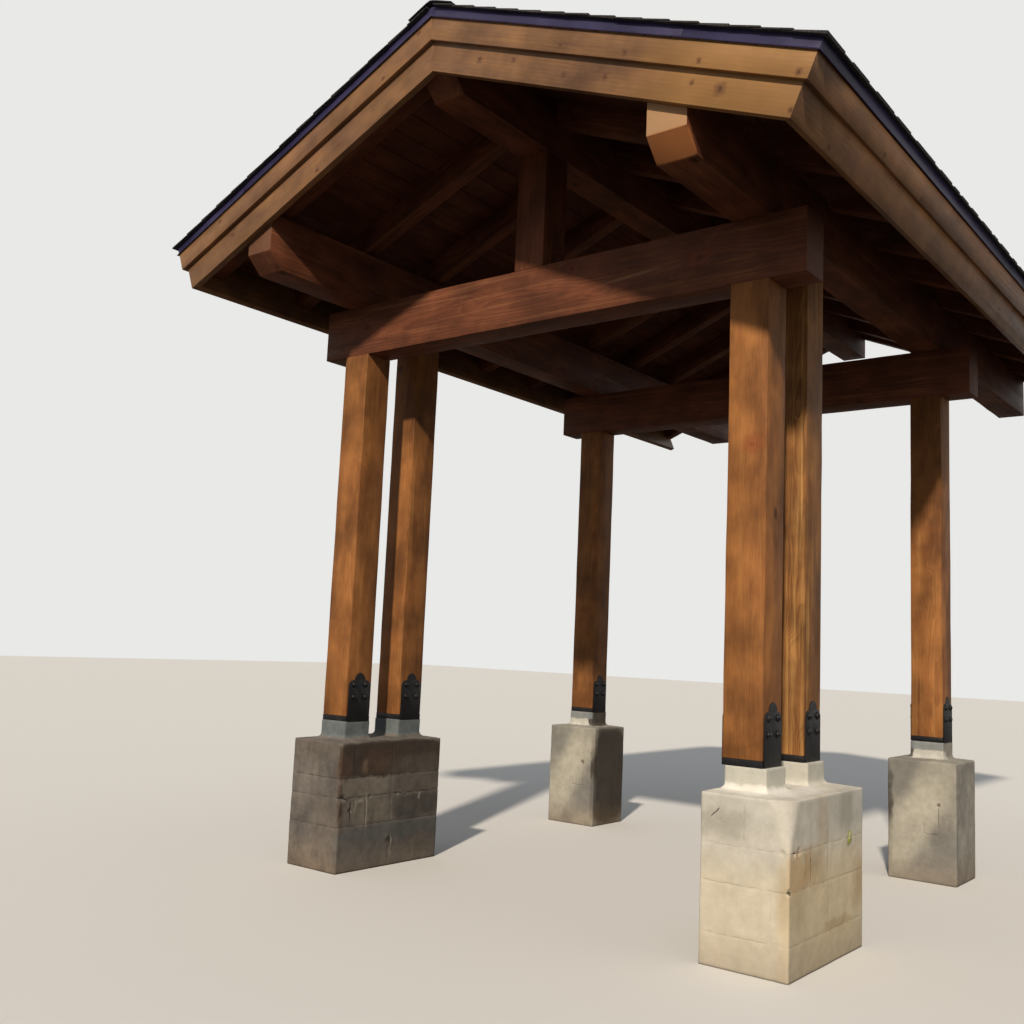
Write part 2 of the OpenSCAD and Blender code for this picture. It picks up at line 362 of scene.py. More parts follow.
# %% [markdown]
# ## Materials
# Knots, stains, cracks and joints, and a few painted highlights,
# shadows and shade, are drawn as spots: a place and a reach in metres,
# with an edge that a noise unsettles. So a mark lies where it lies on the
# real canopy, and its outline still looks like weather.

# %% Spots in a material
def unsettle(add, point, grain, amount):
    """Moves a point by a noise, so that an edge drawn at it wanders."""
    noise = add("TexNoise", {"Scale": 1 / grain, "Detail": 4.0, "Vector": point})
    push = add("VectorMath", {"operation": "MULTIPLY_ADD", 0: noise.outputs["Color"],
                              1: (amount,) * 3, 2: (-amount / 2,) * 3})
    return add("VectorMath", {"operation": "ADD", 0: point, 1: push})


def nearness(add, point, spots):
    """0 in the middle of the nearest spot and 1 on its edge. A spot is a rounded box."""
    nearest = None
    for middle, reach, *turn in spots:
        placed = add("Mapping", {"vector_type": "TEXTURE", "Location": middle, "Scale": reach,
                                 "Rotation": turn[0] if turn else (0, 0, 0), "Vector": point})
        squared = add("VectorMath", {"operation": "MULTIPLY", 0: placed, 1: placed})
        away = add("VectorMath", {"operation": "LENGTH", 0: squared})
        if nearest:
            away = add("Math", {"operation": "MINIMUM", 0: nearest, 1: away})
        nearest = away
    return nearest


def cover(add, colour, value, low, high, strength, hex_code, ease="LINEAR"):
    """Lays a colour over another, ever more as a value goes from low to high."""
    mask = add("MapRange", {"interpolation_type": ease, 0: value, 1: low, 2: high,
                            3: 0.0, 4: strength})
    return add("Mix", {"data_type": "RGBA", 0: mask, 6: colour, 7: tone(hex_code)})


def lay_stains_and_painted_light(add, point, colour, layers):
    """Lays stains, painted highlights and painted shade over a colour. layers: (colour, strength,
    softness, spots), lowest first.
    """
    for hex_code, strength, soft, spots in layers:
        colour = cover(add, colour, nearness(add, point, spots), 1.0 + soft, 1.0 - soft,
                       strength, hex_code, "SMOOTHSTEP")
    return colour


print("helpers for stains ready")

# %% [markdown]
# ### Stained sawn timber
# The frame is Douglas fir, sawn rough and stained red brown. The stain
# sinks into the soft early wood and leaves the hard late wood as lines.
# One pattern in three dimensions does both the long grain on the faces
# and the rings on the ends: rings around a pith that runs along the
# timber, bent a little by knots. It is centred and turned for each
# timber with a Mapping node, so no two timbers show the same grain.

# %% Timber material
QUARTER_TURN, EIGHTH_TURN = math.radians(90), math.radians(45)
ALONG_Z, ALONG_X, ALONG_Y = (0, 0, 0), (0, QUARTER_TURN, 0), (-QUARTER_TURN, 0, 0)
DOWN_SLOPE = {side: (0, side * (QUARTER_TURN + PITCH), 0) for side in (RIGHT, LEFT)}
# A wave texture of scale 1 has a ring or a band every 0.31 m, which is a tenth of pi
WAVE_UNIT = math.pi / 10


def wood(name, centre, turn, early, late, streak, knot, ring_mm=5, pith=(0.0, 0.0),
         knot_gap=0.42, knot_size=0.0625, through=None, cell=None, rough=0.62, bump_mm=0.8,
         streaks=0.35, ring_show=0.4, blotch=0.3, end="#b98f66", eyes=(), marks=()):
    """A wood whose rings run along the local Z of a turned frame.

    through: the local axis that goes through a thin board, which its knots follow.
    eyes: spots of single knots. marks: stains and painted light, as lay_stains_and_painted_light()
    takes them."""
    material, shader, add = new_material(name)
    place = add("TexCoord").outputs
    point = add("Mapping", {"vector_type": "TEXTURE", "Location": centre, "Rotation": turn,
                            "Vector": place["Object"]})
    if cell:
        # Timbers that repeat each take a different piece of the pattern
        axis, width, shift = cell
        parts = add("SeparateXYZ", {0: point})
        shifted = add("Math", {"operation": "ADD", 0: parts.outputs[axis], 1: shift})
        counted = add("Math", {"operation": "DIVIDE", 0: shifted, 1: width})
        number = add("Math", {"operation": "FLOOR", 0: counted})
        chance = add("TexWhiteNoise", {"noise_dimensions": "1D", "W": number})
        spread = add("VectorMath", {"operation": "MULTIPLY", 0: chance.outputs["Color"],
                                    1: (0.5, 0.5, 9.0)})
        point = add("VectorMath", {"operation": "ADD", 0: point, 1: spread})

    # Knots stand about knot_gap metres apart along the grain
    knot_place = add("VectorMath", {"operation": "MULTIPLY", 0: point,
                                    1: (1.5 / knot_gap, 1.5 / knot_gap, 1 / knot_gap)})
    if through:
        parts = add("SeparateXYZ", {0: knot_place}).outputs
        knot_place = add("CombineXYZ", {"X": parts["Y" if through == "X" else "X"],
                                        "Y": parts["Z"]})
    knots = add("TexVoronoi", {"voronoi_dimensions": "2D" if through else "3D",
                               "Scale": 1.0, "Vector": knot_place})
    swirl = add("MapRange", {"interpolation_type": "SMOOTHSTEP", 0: knots,
                             1: 5.4 * knot_size, 2: 0.0})
    heart = add("MapRange", {"interpolation_type": "SMOOTHSTEP", 0: knots,
                             1: 1.6 * knot_size, 2: 0.4 * knot_size, 4: 0.85})

    # The rings wander slowly along the timber and swell round each knot
    slow = add("Mapping", {"Scale": (3.0, 3.0, 0.9), "Vector": point})
    wander = add("TexNoise", {"Scale": 1.0, "Detail": 3.0, "Roughness": 0.45, "Vector": slow})
    bend = add("Math", {"operation": "MULTIPLY", 0: swirl, 1: 0.030})
    drift = add("Math", {"operation": "MULTIPLY_ADD", 0: wander, 1: 0.085, 2: -0.0425})
    aside = add("Math", {"operation": "ADD", 0: bend, 1: drift})
    near_place = unsettle(add, place["Object"], 0.03, 0.010)
    if eyes:
        close_in = add("MapRange", {"interpolation_type": "SMOOTHSTEP",
                                    0: nearness(add, near_place, eyes), 1: 1.0, 2: 0.0, 4: 0.034})
        aside = add("Math", {"operation": "ADD", 0: aside, 1: close_in})
        ring_show = add("Math", {"operation": "MULTIPLY_ADD", 0: close_in, 1: 20.0, 2: ring_show})
    aside = add("CombineXYZ", {"X": aside, "Y": aside})
    off_pith = add("VectorMath", {"operation": "ADD", 0: point, 1: (-pith[0], -pith[1], 0.0)})
    bent = add("VectorMath", {"operation": "ADD", 0: off_pith, 1: aside})
    rings = add("TexWave", {"wave_type": "RINGS", "rings_direction": "Z", "wave_profile": "SAW",
                            "Scale": WAVE_UNIT / (ring_mm / 1000), "Vector": bent})
    late_wood = add("MapRange", {"interpolation_type": "SMOOTHSTEP",
                                 0: rings.outputs["Fac"], 1: 0.25, 2: 0.95})

    # Fibres are about a millimetre wide and a hand long
    thin = add("Mapping", {"Scale": (420, 420, 9), "Vector": point})
    fibres = add("TexNoise", {"Scale": 1.0, "Detail": 3.0, "Roughness": 0.6, "Vector": thin})
    wide = add("Mapping", {"Scale": (46, 46, 1.3), "Vector": point})
    bands = add("TexNoise", {"Scale": 1.0, "Detail": 3.0, "Roughness": 0.55, "Distortion": 0.6,
                             "Vector": wide})
    patchy = add("Mapping", {"Scale": (9, 9, 3.0), "Vector": point})
    patches = add("TexNoise", {"Scale": 1.0, "Detail": 4.0, "Roughness": 0.55, "Vector": patchy})
    ring_tint = add("Math", {"operation": "MULTIPLY", 0: late_wood, 1: ring_show})
    grain = add("Mix", {"data_type": "RGBA", 0: ring_tint, 6: tone(early), 7: tone(late)})
    stained = cover(add, grain, patches, 0.38, 0.66, 0.8, late)
    streaked = cover(add, stained, bands, 0.52, 0.72, streaks, streak)

    # Stain lies thicker in places a forearm long, and fibres break it up finely
    coats = add("TexNoise", {"Scale": 3.4, "Detail": 3.0, "Roughness": 0.6, "Vector": point})
    coat_shade = add("MapRange", {0: coats, 1: 0.35, 2: 0.65,
                                  3: 1.0 + 0.4 * blotch, 4: 1.0 - blotch})
    fibre_shade = add("MapRange", {0: fibres, 1: 0.3, 2: 0.7, 3: 0.82, 4: 1.14})
    shade = add("Math", {"operation": "MULTIPLY", 0: coat_shade, 1: fibre_shade})
    fibred = add("VectorMath", {"operation": "SCALE", 0: streaked, "Scale": shade})
    knotted = add("Mix", {"data_type": "RGBA", 0: heart, 6: fibred, 7: tone(knot)})

    # The sawn ends took the stain in their own way and have their own colour
    way_up = Euler(turn).to_matrix() @ Vector((0, 0, 1))
    facing = add("VectorMath", {"operation": "DOT_PRODUCT", 0: place["Normal"], 1: way_up})
    across = add("Math", {"operation": "ABSOLUTE", 0: facing})
    ended = cover(add, knotted, across, 0.8, 0.95, 0.72, end)
    marked = lay_stains_and_painted_light(add, near_place, ended, marks)

    dull = add("MapRange", {0: bands, 1: 0.3, 2: 0.7, 3: rough - 0.1, 4: rough + 0.14})
    height = add("Math", {"operation": "MULTIPLY_ADD", 0: late_wood, 1: 0.35, 2: fibres})
    bump = add("Bump", {"Strength": 1.0, "Distance": bump_mm / 1000, "Height": height})
    # A furry sawn face hardly mirrors
    wire(shader, {"Base Color": marked, "Roughness": dull, "Normal": bump, "IOR": 1.45,
                  "Specular IOR Level": 0.25})
    return material


def sawn_timber(node, centre, turn, pith=(0.01, -0.02), ring_mm=5, **more):
    """Rough sawn fir in the red brown stain of the beams, named after its node."""
    colours = dict(early="#7e4a31", late="#522d1e", streak="#a7714c", knot="#321b11")
    return wood("rough sawn fir, " + node.replace("_", " "), centre, turn, ring_mm=ring_mm,
                pith=pith, **(colours | more))


print("timber material ready")

# %% [markdown]
# ## Timber frame
# A sawn timber is a block with small rounded edges, a little wavy because
# it was sawn green and dried. The long edges are divided, the points are
# moved by a millimetre, and then every sharp edge is eased.

# %% Timbers
def rough_sawn(low, high, along, seed):
    """A sawn timber whose long side runs along X (0), Y (1) or Z (2)."""
    piece = block(low, high)
    with picked("EDGE", lambda middle, way: abs(way[along]) > 0.9):
        bpy.ops.mesh.subdivide(number_cuts=max(2, int((high[along] - low[along]) / 0.18)))
    with picked("VERT", lambda co: low[along] + 0.01 < co[along] < high[along] - 0.01):
        bpy.ops.transform.vertex_random(offset=0.0012, uniform=1.0, normal=0.0, seed=seed)
    return piece


def make_timber(node, along, seed, slot="beam_timber", cuts=(), grain_shift=0, **look):
    """Saws a timber to its CAD box, cuts it, eases its edges and stains it.

    cuts: planes, as cut() takes them. look: what sawn_timber() takes beside."""
    low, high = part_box(node)
    piece = rough_sawn(low, high, along, seed)
    for plane in cuts:
        cut(*plane)
    ease_edges(0.004)
    centre = (low + high) / 2 + Vector((0, 0, grain_shift))
    turn = (ALONG_X, ALONG_Y, ALONG_Z)[along]
    keep(piece, "timber", node, sawn_timber(node, centre, turn, **look))


def make_posts():
    # How plainly the rings and the pale streaks show differs from post to post
    looks = {"front_left": (0.30, 0.25), "second_left": (0.35, 0.35), "rear_left": (0.30, 0.30),
             "front_right": (0.16, 0.22), "second_right": (0.60, 0.62), "rear_right": (0.30, 0.30)}
    for number, (corner, (ring_show, streaks)) in enumerate(looks.items()):
        look = dict(early="#aa703d", late="#704424", streak="#c58f55")
        if corner == "second_right":
            look = dict(early="#aa7440", late="#684223", streak="#cf9f5f")
        if corner == "front_right":
            # A knot as wide as a hand, two thirds up
            low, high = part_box("post_" + corner)
            spot = (high.x - 0.070, low.y, 2.235)
            look["eyes"] = [(spot, (0.070, 0.05, 0.058))]
            look["marks"] = [
                ("#a4552f", 0.40, 0.95, [(spot, (0.046, 0.05, 0.034)),
                                         (spot, (0.036, 0.05, 0.036), (0, EIGHTH_TURN, 0))]),
                ("#7c3a20", 0.45, 0.90, [(spot, (0.016, 0.03, 0.007), (0, 0.35, 0))])]
        make_timber("post_" + corner, 2, number + 1, "post_timber", grain_shift=7 * number,
                    pith=(0.10, 0.03 * (number % 3)), ring_mm=7, blotch=0.36,
                    ring_show=ring_show, streaks=streaks, **look)


make_posts()

# %% [markdown]
# The tie beams cross the posts and run past them. The side beams and the
# ridge beam carry a big chamfer on their lower front corner, and the
# ridge beam's top is planed to the two slopes of the roof.

# %% Beams
def make_tie_beams():
    for number, node in enumerate(("front_tie_beam", "rear_tie_beam")):
        low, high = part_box(node)
        look = {}
        if node == "front_tie_beam":
            # Two knots, and the pale tear that the saw left between them
            left_knot, right_knot = (0.286, low.y, high.z - 0.055), (1.027, low.y, high.z - 0.140)
            tear = (0.650, low.y, high.z - 0.161)
            look["eyes"] = [(left_knot, (0.060, 0.05, 0.036)), (right_knot, (0.085, 0.05, 0.060))]
            look["marks"] = [
                ("#8a4a31", 0.45, 0.80, [(left_knot, (0.040, 0.03, 0.024)),
                                         (right_knot, (0.060, 0.03, 0.040))]),
                ("#4a2117", 0.60, 0.60, [(left_knot, (0.010, 0.03, 0.012)),
                                         (right_knot, (0.014, 0.03, 0.014))]),
                ("#b58561", 0.42, 0.90, [(tear, (0.150, 0.03, 0.008), (0, -0.075, 0))])]
        make_timber(node, 0, 20 + number, pith=(0.03, 0.05 - 0.1 * number), ring_mm=8,
                    ring_show=0.45, streaks=0.45, blotch=0.32, end="#4f2d1e", **look)


def make_long_beams():
    # Each beam's sawn end has its own colour: pale on the right side beam, darker on the left side
    # beam and the ridge beam
    ends = {"left_side_beam": "#70503b", "right_side_beam": "#cfa479", "ridge_beam": "#5c3e2d"}
    for number, (node, end) in enumerate(ends.items()):
        low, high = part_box(node)
        cuts = [((low.x, low.y + BEAM_CHAMFER, low.z), (0, -1, -1))]
        if node == "ridge_beam":
            cuts += [((0, 0, PEAK_Z), (side * math.sin(PITCH), 0, math.cos(PITCH)))
                     for side in (RIGHT, LEFT)]
        marks = ()
        if node == "right_side_beam":
            # Its chamfer is painted a light orange: partly light bounced up from below, painted in,
            # and partly a thin coat of stain
            middle = ((low.x + high.x) / 2, low.y + BEAM_CHAMFER / 2, low.z + BEAM_CHAMFER / 2)
            chamfer = (middle, (0.12, 0.066, 0.014), (-EIGHTH_TURN, 0, 0))
            marks = [("#c17c4a", 0.85, 0.30, [chamfer])]
        make_timber(node, 1, 30 + number, cuts=cuts, pith=(0.04 * (number - 1), 0.06),
                    end=end, marks=marks)


def make_king_posts():
    for number, node in enumerate(("front_king_post", "rear_king_post")):
        make_timber(node, 2, 40 + number)


make_tie_beams()
make_long_beams()
make_king_posts()

# %% [markdown]
# A rafter is cut plumb where it meets the ridge beam and notched where it
# sits on the side beam. One is shaped, and the others are copies of it at
# the spacing of the real ones, 610 mm. Two stand side by side behind each
# rake board. The right rafters stand one width behind the left ones, as
# carpenters set them out when pairs pass each other at the ridge.

# %% Rafters
FIRST_RAFTER_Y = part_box("front_tie_beam")[0].y - 0.024


def rafter_ys(side):
    lag = RAFTER_W if side == RIGHT else 0.0
    return ([FRAME_Y, FRAME_Y + RAFTER_W]
            + [FIRST_RAFTER_Y + lag + RAFTER_GAP * k for k in range(8)] + [BACK_Y - RAFTER_W])


def one_rafter(side):
    block((PAST_PEAK, 0, -RAFTER_H), (FRAME_S, RAFTER_W, 0))
    piece = lay_on_slope(side)
    cut((side * HALF_POST, 0, 0), (-side, 0, 0))
    # It sits on the side beam out to the beam's outer face
    low_x, high_x = sorted((side * 1.0, side * BEAM_OUT_X))
    combine(piece, block((low_x, -0.1, SEAT_Z - 0.2), (high_x, 0.2, SEAT_Z)), "DIFFERENCE")
    ease_edges(0.003)
    return piece


def make_rafters():
    for side in (LEFT, RIGHT):
        first = one_rafter(side)
        piece = join([copy_of(first, (0, y, 0)) for y in rafter_ys(side)])
        bpy.data.objects.remove(first)
        node = SIDE_NAME[side] + "_rafters"
        keep(piece, "timber", node, sawn_timber(
            node, (0, 0, PEAK_Z), DOWN_SLOPE[side], pith=(0.2, 0.1),
            cell=("Y", RAFTER_GAP / 2, 0.10 if side == RIGHT else 0.11)))


make_rafters()

# %% [markdown]
# ## Steel post bases
# Each post stands in a shallow steel shoe with an upright plate on two
# sides, flame cut to a pointed top and powder coated black. A plate is a
# block whose top corners are rounded with one wide bevel. Its point is
# the overlap of two round bars, as in a drawn pointed arch.

# %% Paint on metal
def painted_metal(name, paint, worn, patches, shown, roughness, ripples, bump, mirror):
    """Paint that dust or sun changed in patches, with a finely rippled skin.

    patches: scale and roughness of their noise. shown: from, to and how strongly they show.
    bump: strength and depth of the ripples."""
    material, shader, add = new_material(name)
    place = add("TexCoord").outputs["Object"]
    patch = add("TexNoise", {"Scale": patches[0], "Detail": 5.0, "Roughness": patches[1],
                             "Vector": place})
    colour = cover(add, tone(paint), patch, *shown, worn)
    dull = add("MapRange", {0: patch, 1: 0.3, 2: 0.7, 3: roughness[0], 4: roughness[1]})
    ripple = add("TexNoise", {"Scale": ripples, "Detail": 1.0, "Vector": place})
    relief = add("Bump", {"Strength": bump[0], "Distance": bump[1], "Height": ripple})
    wire(shader, {"Base Color": colour, "Roughness": dull, "Normal": relief,
                  "Specular IOR Level": mirror})
    return material


# Powder on mild steel: dull and dusty, with an orange peel about 3 mm across
STEEL = painted_metal("black powder coated steel", "#161517", "#3d3835", (9.0, 0.65),
                      (0.52, 0.78, 0.45), (0.38, 0.62), 330.0, (0.6, 0.0004), 0.3)
print("steel:", STEEL.name)

# %% One side plate
PLATE_T, PLATE_W, PLATE_H, SHOULDER_R = 0.006, 0.168, 0.237, 0.036
TIP_HALF_W, TIP_H = 0.0384, 0.0422


def side_plate():
    """A plate standing on z = 0, its middle on y = 0 and its inner face on x = 0."""
    plate = block((0, -PLATE_W / 2, 0), (PLATE_T, PLATE_W / 2, PLATE_H))
    with picked("EDGE", lambda middle, way: abs(way.x) > 0.9 and middle.z > PLATE_H - 0.001):
        bpy.ops.mesh.bevel(offset=SHOULDER_R, segments=8, affect="EDGES")
    radius = (TIP_HALF_W + TIP_H ** 2 / TIP_HALF_W) / 2
    bars = []
    for side in (RIGHT, LEFT):
        start_clean()
        bpy.ops.mesh.primitive_cylinder_add(
            vertices=64, radius=radius, depth=PLATE_T, rotation=(0, QUARTER_TURN, 0),
            location=(PLATE_T / 2, side * (radius - TIP_HALF_W), PLATE_H))
        settle_transform()
        bars.append(bpy.context.object)
    combine(*bars, "INTERSECT")
    cut((0, 0, PLATE_H - 0.010), (0, 0, -1))
    combine(plate, bars[0], "UNION")
    return plate


# %% [markdown]
# The shoe is a shallow upturned box: its underside is inset and pushed up,
# which leaves the walls that stand on the mortar pad.

# %% Shoe and bolts
SHOE_H, SHOE_WALL = 0.030, 0.008
WASHER_R, WASHER_T, DOME_R, DOME_SQUASH = 0.0185, 0.003, 0.0155, 0.62
BOLT_UP, BOLT_SPREAD = (0.140, 0.211), 0.047


def shoe():
    piece = block((-HALF_POST, -HALF_POST, 0), (HALF_POST, HALF_POST, SHOE_H))
    with picked("FACE", lambda centre, normal: normal.z < -0.9):
        bpy.ops.mesh.inset(thickness=SHOE_WALL, depth=0)
        extrude((0, 0, SHOE_H - SHOE_WALL))
    return piece


def bolt_head():
    """A low dome on a washer, seen on a face that looks along X."""
    start_clean()
    bpy.ops.mesh.primitive_cylinder_add(
        vertices=18, radius=WASHER_R, depth=WASHER_T, rotation=(0, QUARTER_TURN, 0),
        location=(WASHER_T / 2, 0, 0))
    settle_transform()
    washer = bpy.context.object
    ease_edges(0.0008, 1)
    start_clean()
    bpy.ops.mesh.primitive_uv_sphere_add(
        segments=16, ring_count=8, radius=DOME_R, rotation=(0, QUARTER_TURN, 0),
        location=(WASHER_T, 0, 0))
    settle_transform()
    dome = bpy.context.object
    cut((WASHER_T, 0, 0), (-1, 0, 0))
    dome.scale = (DOME_SQUASH, 1, 1)
    dome.location.x = WASHER_T * (1 - DOME_SQUASH)
    bpy.ops.object.shade_smooth_by_angle(angle=math.radians(40))
    return join([dome, washer])


def make_bases():
    plate, base_shoe, head = side_plate(), shoe(), bolt_head()
    for side, row in product(("left", "right"), ("front", "second", "rear")):
        corner = f"{row}_{side}"
        low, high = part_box("base_" + corner)
        x, y, z = (low.x + high.x) / 2, (low.y + high.y) / 2, low.z
        parts, heads = [copy_of(base_shoe, (x, y, z))], []
        for way, turn in ((RIGHT, 0), (LEFT, math.pi)):
            parts.append(copy_of(plate, (x + way * HALF_POST, y, z), turn=turn))
            face_x = x + way * (HALF_POST + PLATE_T)
            heads += [copy_of(head, (face_x, y + across, z + up), turn=turn)
                      for up, across in product(BOLT_UP, (-BOLT_SPREAD, BOLT_SPREAD))]
        piece = join(parts)
        ease_edges(0.0012)
        keep(piece, "steel", "base_" + corner, STEEL)
        keep(join(heads), "bolts", corner, STEEL, stands_in=False)
    for pattern in (plate, base_shoe, head):
        bpy.data.objects.remove(pattern)


make_bases()

# %% [markdown]
# ## Parged piers
# A pier is concrete block under a trowelled coat of mortar. The coat runs
# up to each pad in a cove, and the courses show through as faint lines.
# Block, wash and pads start as separate solids. A voxel remesh melts them
# into one skin, smoothing rounds it as a trowel does, and cloud textures
# push the skin in and out by a millimetre or two. Joints and chips are
# then pressed in point by point.

# %% Mortar material
def mortar(name, body, shade, joint, seams, layers, seed, run_show=0.3, seam_show=0.9,
           mottle=0.08, wander=0.045, cracks=()):
    """Portland cement parging: a fine sand skin with trowel sweeps, joints and water stains.

    seams, cracks: spots of the thin joint lines and of the hairline cracks.
    layers: the stains, painted highlights and painted shade, as lay_stains_and_painted_light()
    takes them."""
    material, shader, add = new_material(name)
    place = add("TexCoord").outputs["Object"]
    point = add("Mapping", {"Location": (seed, seed * 0.7, 0), "Vector": place})
    clouds = add("TexNoise", {"Scale": 4.2, "Detail": 6.0, "Roughness": 0.62, "Vector": point})
    colour = cover(add, tone(body), clouds, 0.36, 0.66, 1.0, shade)
    # Rain leaves faint upright runs a finger wide
    runs = add("Mapping", {"Scale": (26, 26, 2.4), "Vector": point})
    run_noise = add("TexNoise", {"Scale": 1.0, "Detail": 3.0, "Roughness": 0.6,
                                 "Distortion": 0.4, "Vector": runs})
    colour = cover(add, colour, run_noise, 0.52, 0.72, run_show, joint)
    # Stains, painted highlights and painted shade, with edges that wander by a thumb's width or
    # more
    colour = lay_stains_and_painted_light(add, unsettle(add, place, 0.07, wander), colour, layers)
    # Joint lines, filled flush here and there
    crumbs = add("TexNoise", {"Scale": 24.0, "Detail": 3.0, "Vector": place})
    open_part = add("MapRange", {0: crumbs, 1: 0.42, 2: 0.58, 3: 0.1 * seam_show, 4: seam_show})
    near_seam = nearness(add, unsettle(add, place, 0.05, 0.012), seams)
    line = add("MapRange", {0: near_seam, 1: 1.4, 2: 0.4})
    seam = add("Math", {"operation": "MULTIPLY", 0: line, 1: open_part})
    colour = add("Mix", {"data_type": "RGBA", 0: seam, 6: colour, 7: tone(joint)})
    # Soil splashes on the lowest hand's width
    height = add("SeparateXYZ", {0: place}).outputs["Z"]
    low_edge = add("Math", {"operation": "MULTIPLY_ADD", 0: clouds, 1: 0.22, 2: height})
    colour = cover(add, colour, low_edge, 0.30, 0.10, 0.4, "#8d7458")
    sand = add("TexNoise", {"Scale": 260.0, "Detail": 4.0, "Roughness": 0.7, "Vector": point})
    speck = add("MapRange", {0: sand, 1: 0.3, 2: 0.7, 3: 0.92, 4: 1.06})
    # Mortar dries darker where it is thin over the block
    dry = add("TexNoise", {"Scale": 15.0, "Detail": 8.0, "Roughness": 0.68, "Vector": point})
    drying = add("MapRange", {0: dry, 1: 0.34, 2: 0.66, 3: 1 - mottle, 4: 1 + mottle})
    both = add("Math", {"operation": "MULTIPLY", 0: speck, 1: drying})
    colour = add("VectorMath", {"operation": "SCALE", 0: colour, "Scale": both})
    if cracks:
        near_crack = nearness(add, unsettle(add, place, 0.022, 0.011), cracks)
        colour = cover(add, colour, near_crack, 1.5, 0.6, 0.93, "#1c1713")
    # A trowel leaves broad sweeps, and an open joint is a hairline deeper
    sweep = add("TexNoise", {"Scale": 22.0, "Detail": 3.0, "Vector": point})
    relief = add("Math", {"operation": "MULTIPLY_ADD", 0: sweep, 1: 2.2, 2: sand})
    grooved = add("Math", {"operation": "MULTIPLY_ADD", 0: seam, 1: -2.0, 2: relief})
    bump = add("Bump", {"Strength": 0.6, "Distance": 0.0009, "Height": grooved})
    wire(shader, {"Base Color": colour, "Roughness": 0.9, "Specular IOR Level": 0.3,
                  "Normal": bump})
    return material


# %% Pier solids
VOXEL = 0.0055
COVE_STEPS = 5


def mortar_pad(centre, width, top):
    """A square pad that flares out in a cove at its foot."""
    x, y = centre
    foot = width / 2 + PAD_COVE
    bottom = PIER_H + WASH_RISE - 0.002
    pad = block((x - foot, y - foot, bottom - 0.02), (x + foot, y + foot, bottom))
    with picked("FACE", lambda middle, normal: normal.z > 0.9):
        reach, level = foot, 0.0
        for step in range(1, COVE_STEPS + 1):
            swing = QUARTER_TURN * step / COVE_STEPS
            new_reach = width / 2 + PAD_COVE * (1 - math.sin(swing))
            new_level = PAD_COVE * (1 - math.cos(swing))
            extrude((0, 0, new_level - level))
            factor = new_reach / reach
            bpy.ops.transform.resize(value=(factor, factor, 1), center_override=(x, y, 0))
            reach, level = new_reach, new_level
        extrude((0, 0, top - bottom - level))
    return pad


def pier_block(low, high, foot_low, foot_high):
    """A block whose top slopes up from its edges to the feet of the pads."""
    piece = block(low, (high.x, high.y, PIER_H))
    middle, foot_middle = (low + high) / 2, (foot_low + foot_high) / 2
    size, foot_size = high - low, foot_high - foot_low
    with picked("FACE", lambda middle, normal: normal.z > 0.9):
        extrude((0, 0, WASH_RISE))
        bpy.ops.transform.resize(value=(foot_size.x / size.x, foot_size.y / size.y, 1),
                                 center_override=middle)
        bpy.ops.transform.translate(value=(foot_middle.x - middle.x, foot_middle.y - middle.y, 0))
    return piece


def cloud(name, size):
    texture = bpy.data.textures.new(name, "CLOUDS")
    texture.noise_scale = size
    texture.noise_depth = 2
    return texture


BROAD_CLOUD = cloud("hand wide hollows", 0.22)
FINE_CLOUD = cloud("trowel ripples", 0.035)


def trowelled(solids, strokes):
    """Melts the solids into one skin and works it over like wet mortar."""
    piece = join(solids)
    apply_modifier("REMESH", mode="VOXEL", voxel_size=VOXEL)
    apply_modifier("SMOOTH", factor=0.5, iterations=strokes)
    for texture, strength in ((BROAD_CLOUD, 0.005), (FINE_CLOUD, 0.0012)):
        apply_modifier("DISPLACE", texture=texture, strength=strength, mid_level=0.5,
                       texture_coords="GLOBAL")
    return piece


# %% [markdown]
# The block joints are shallow troughs. Each is given by its height on the
# pier, or by its place along one face, and every point near it moves a
# millimetre inwards. A chip is a ball-shaped bite out of an edge.

# %% Joints and chips
TROUGH_W, SWAY = 0.006, 0.003


def press_in(piece, beds, uprights, chips, depth_mm):
    """Presses bed joints, upright joints and chips into a pier's side faces.

    beds: heights. uprights: (face axis, face sign, place, low z, high z).
    chips: (x, y, z, radius, depth)."""
    rng = random.Random(5)
    mesh = piece.data
    moves = []
    for vertex in mesh.vertices:
        co, normal = vertex.co, vertex.normal
        depth = 0.0
        if abs(normal.z) < 0.6 and co.z < PIER_H - 0.015:
            for bed in beds:
                sway = SWAY * math.sin(9 * co.x + 7 * co.y + 20 * bed)
                depth += depth_mm / 1000 * math.exp(-((co.z - bed - sway) / TROUGH_W) ** 2)
            for axis, sign, place, from_z, to_z in uprights:
                if normal[axis] * sign > 0.6 and from_z < co.z < to_z:
                    other = co[1 - axis] + SWAY * math.sin(21 * co.z)
                    depth += depth_mm / 1000 * math.exp(-((other - place) / TROUGH_W) ** 2)
        move = -normal * depth
        for x, y, z, radius, bite in chips:
            gap = math.dist(co, (x, y, z))
            if gap < radius:
                rough = 0.75 + 0.5 * rng.random()
                move -= normal * bite * rough * (1 - (gap / radius) ** 2)
        moves.append(move)
    for vertex, move in zip(mesh.vertices, moves):
        vertex.co += move
        if vertex.co.z < 0.004:
            vertex.co.z = 0.0


def round_corner(piece, x, y, from_z):
    """Rounds the upright corner at x, y above a joint, ever more towards the top."""
    for vertex in piece.data.vertices:
        climb = (vertex.co.z - from_z) / (PIER_H - from_z)
        radius = 0.012 + 0.095 * min(climb, 1.0)
        middle = Vector((x - radius, y + radius))
        away = Vector((vertex.co.x, vertex.co.y)) - middle
        if climb > 0 and away.x > 0 and away.y < 0 and away.length > radius:
            vertex.co.x, vertex.co.y = middle + away * (radius / away.length)


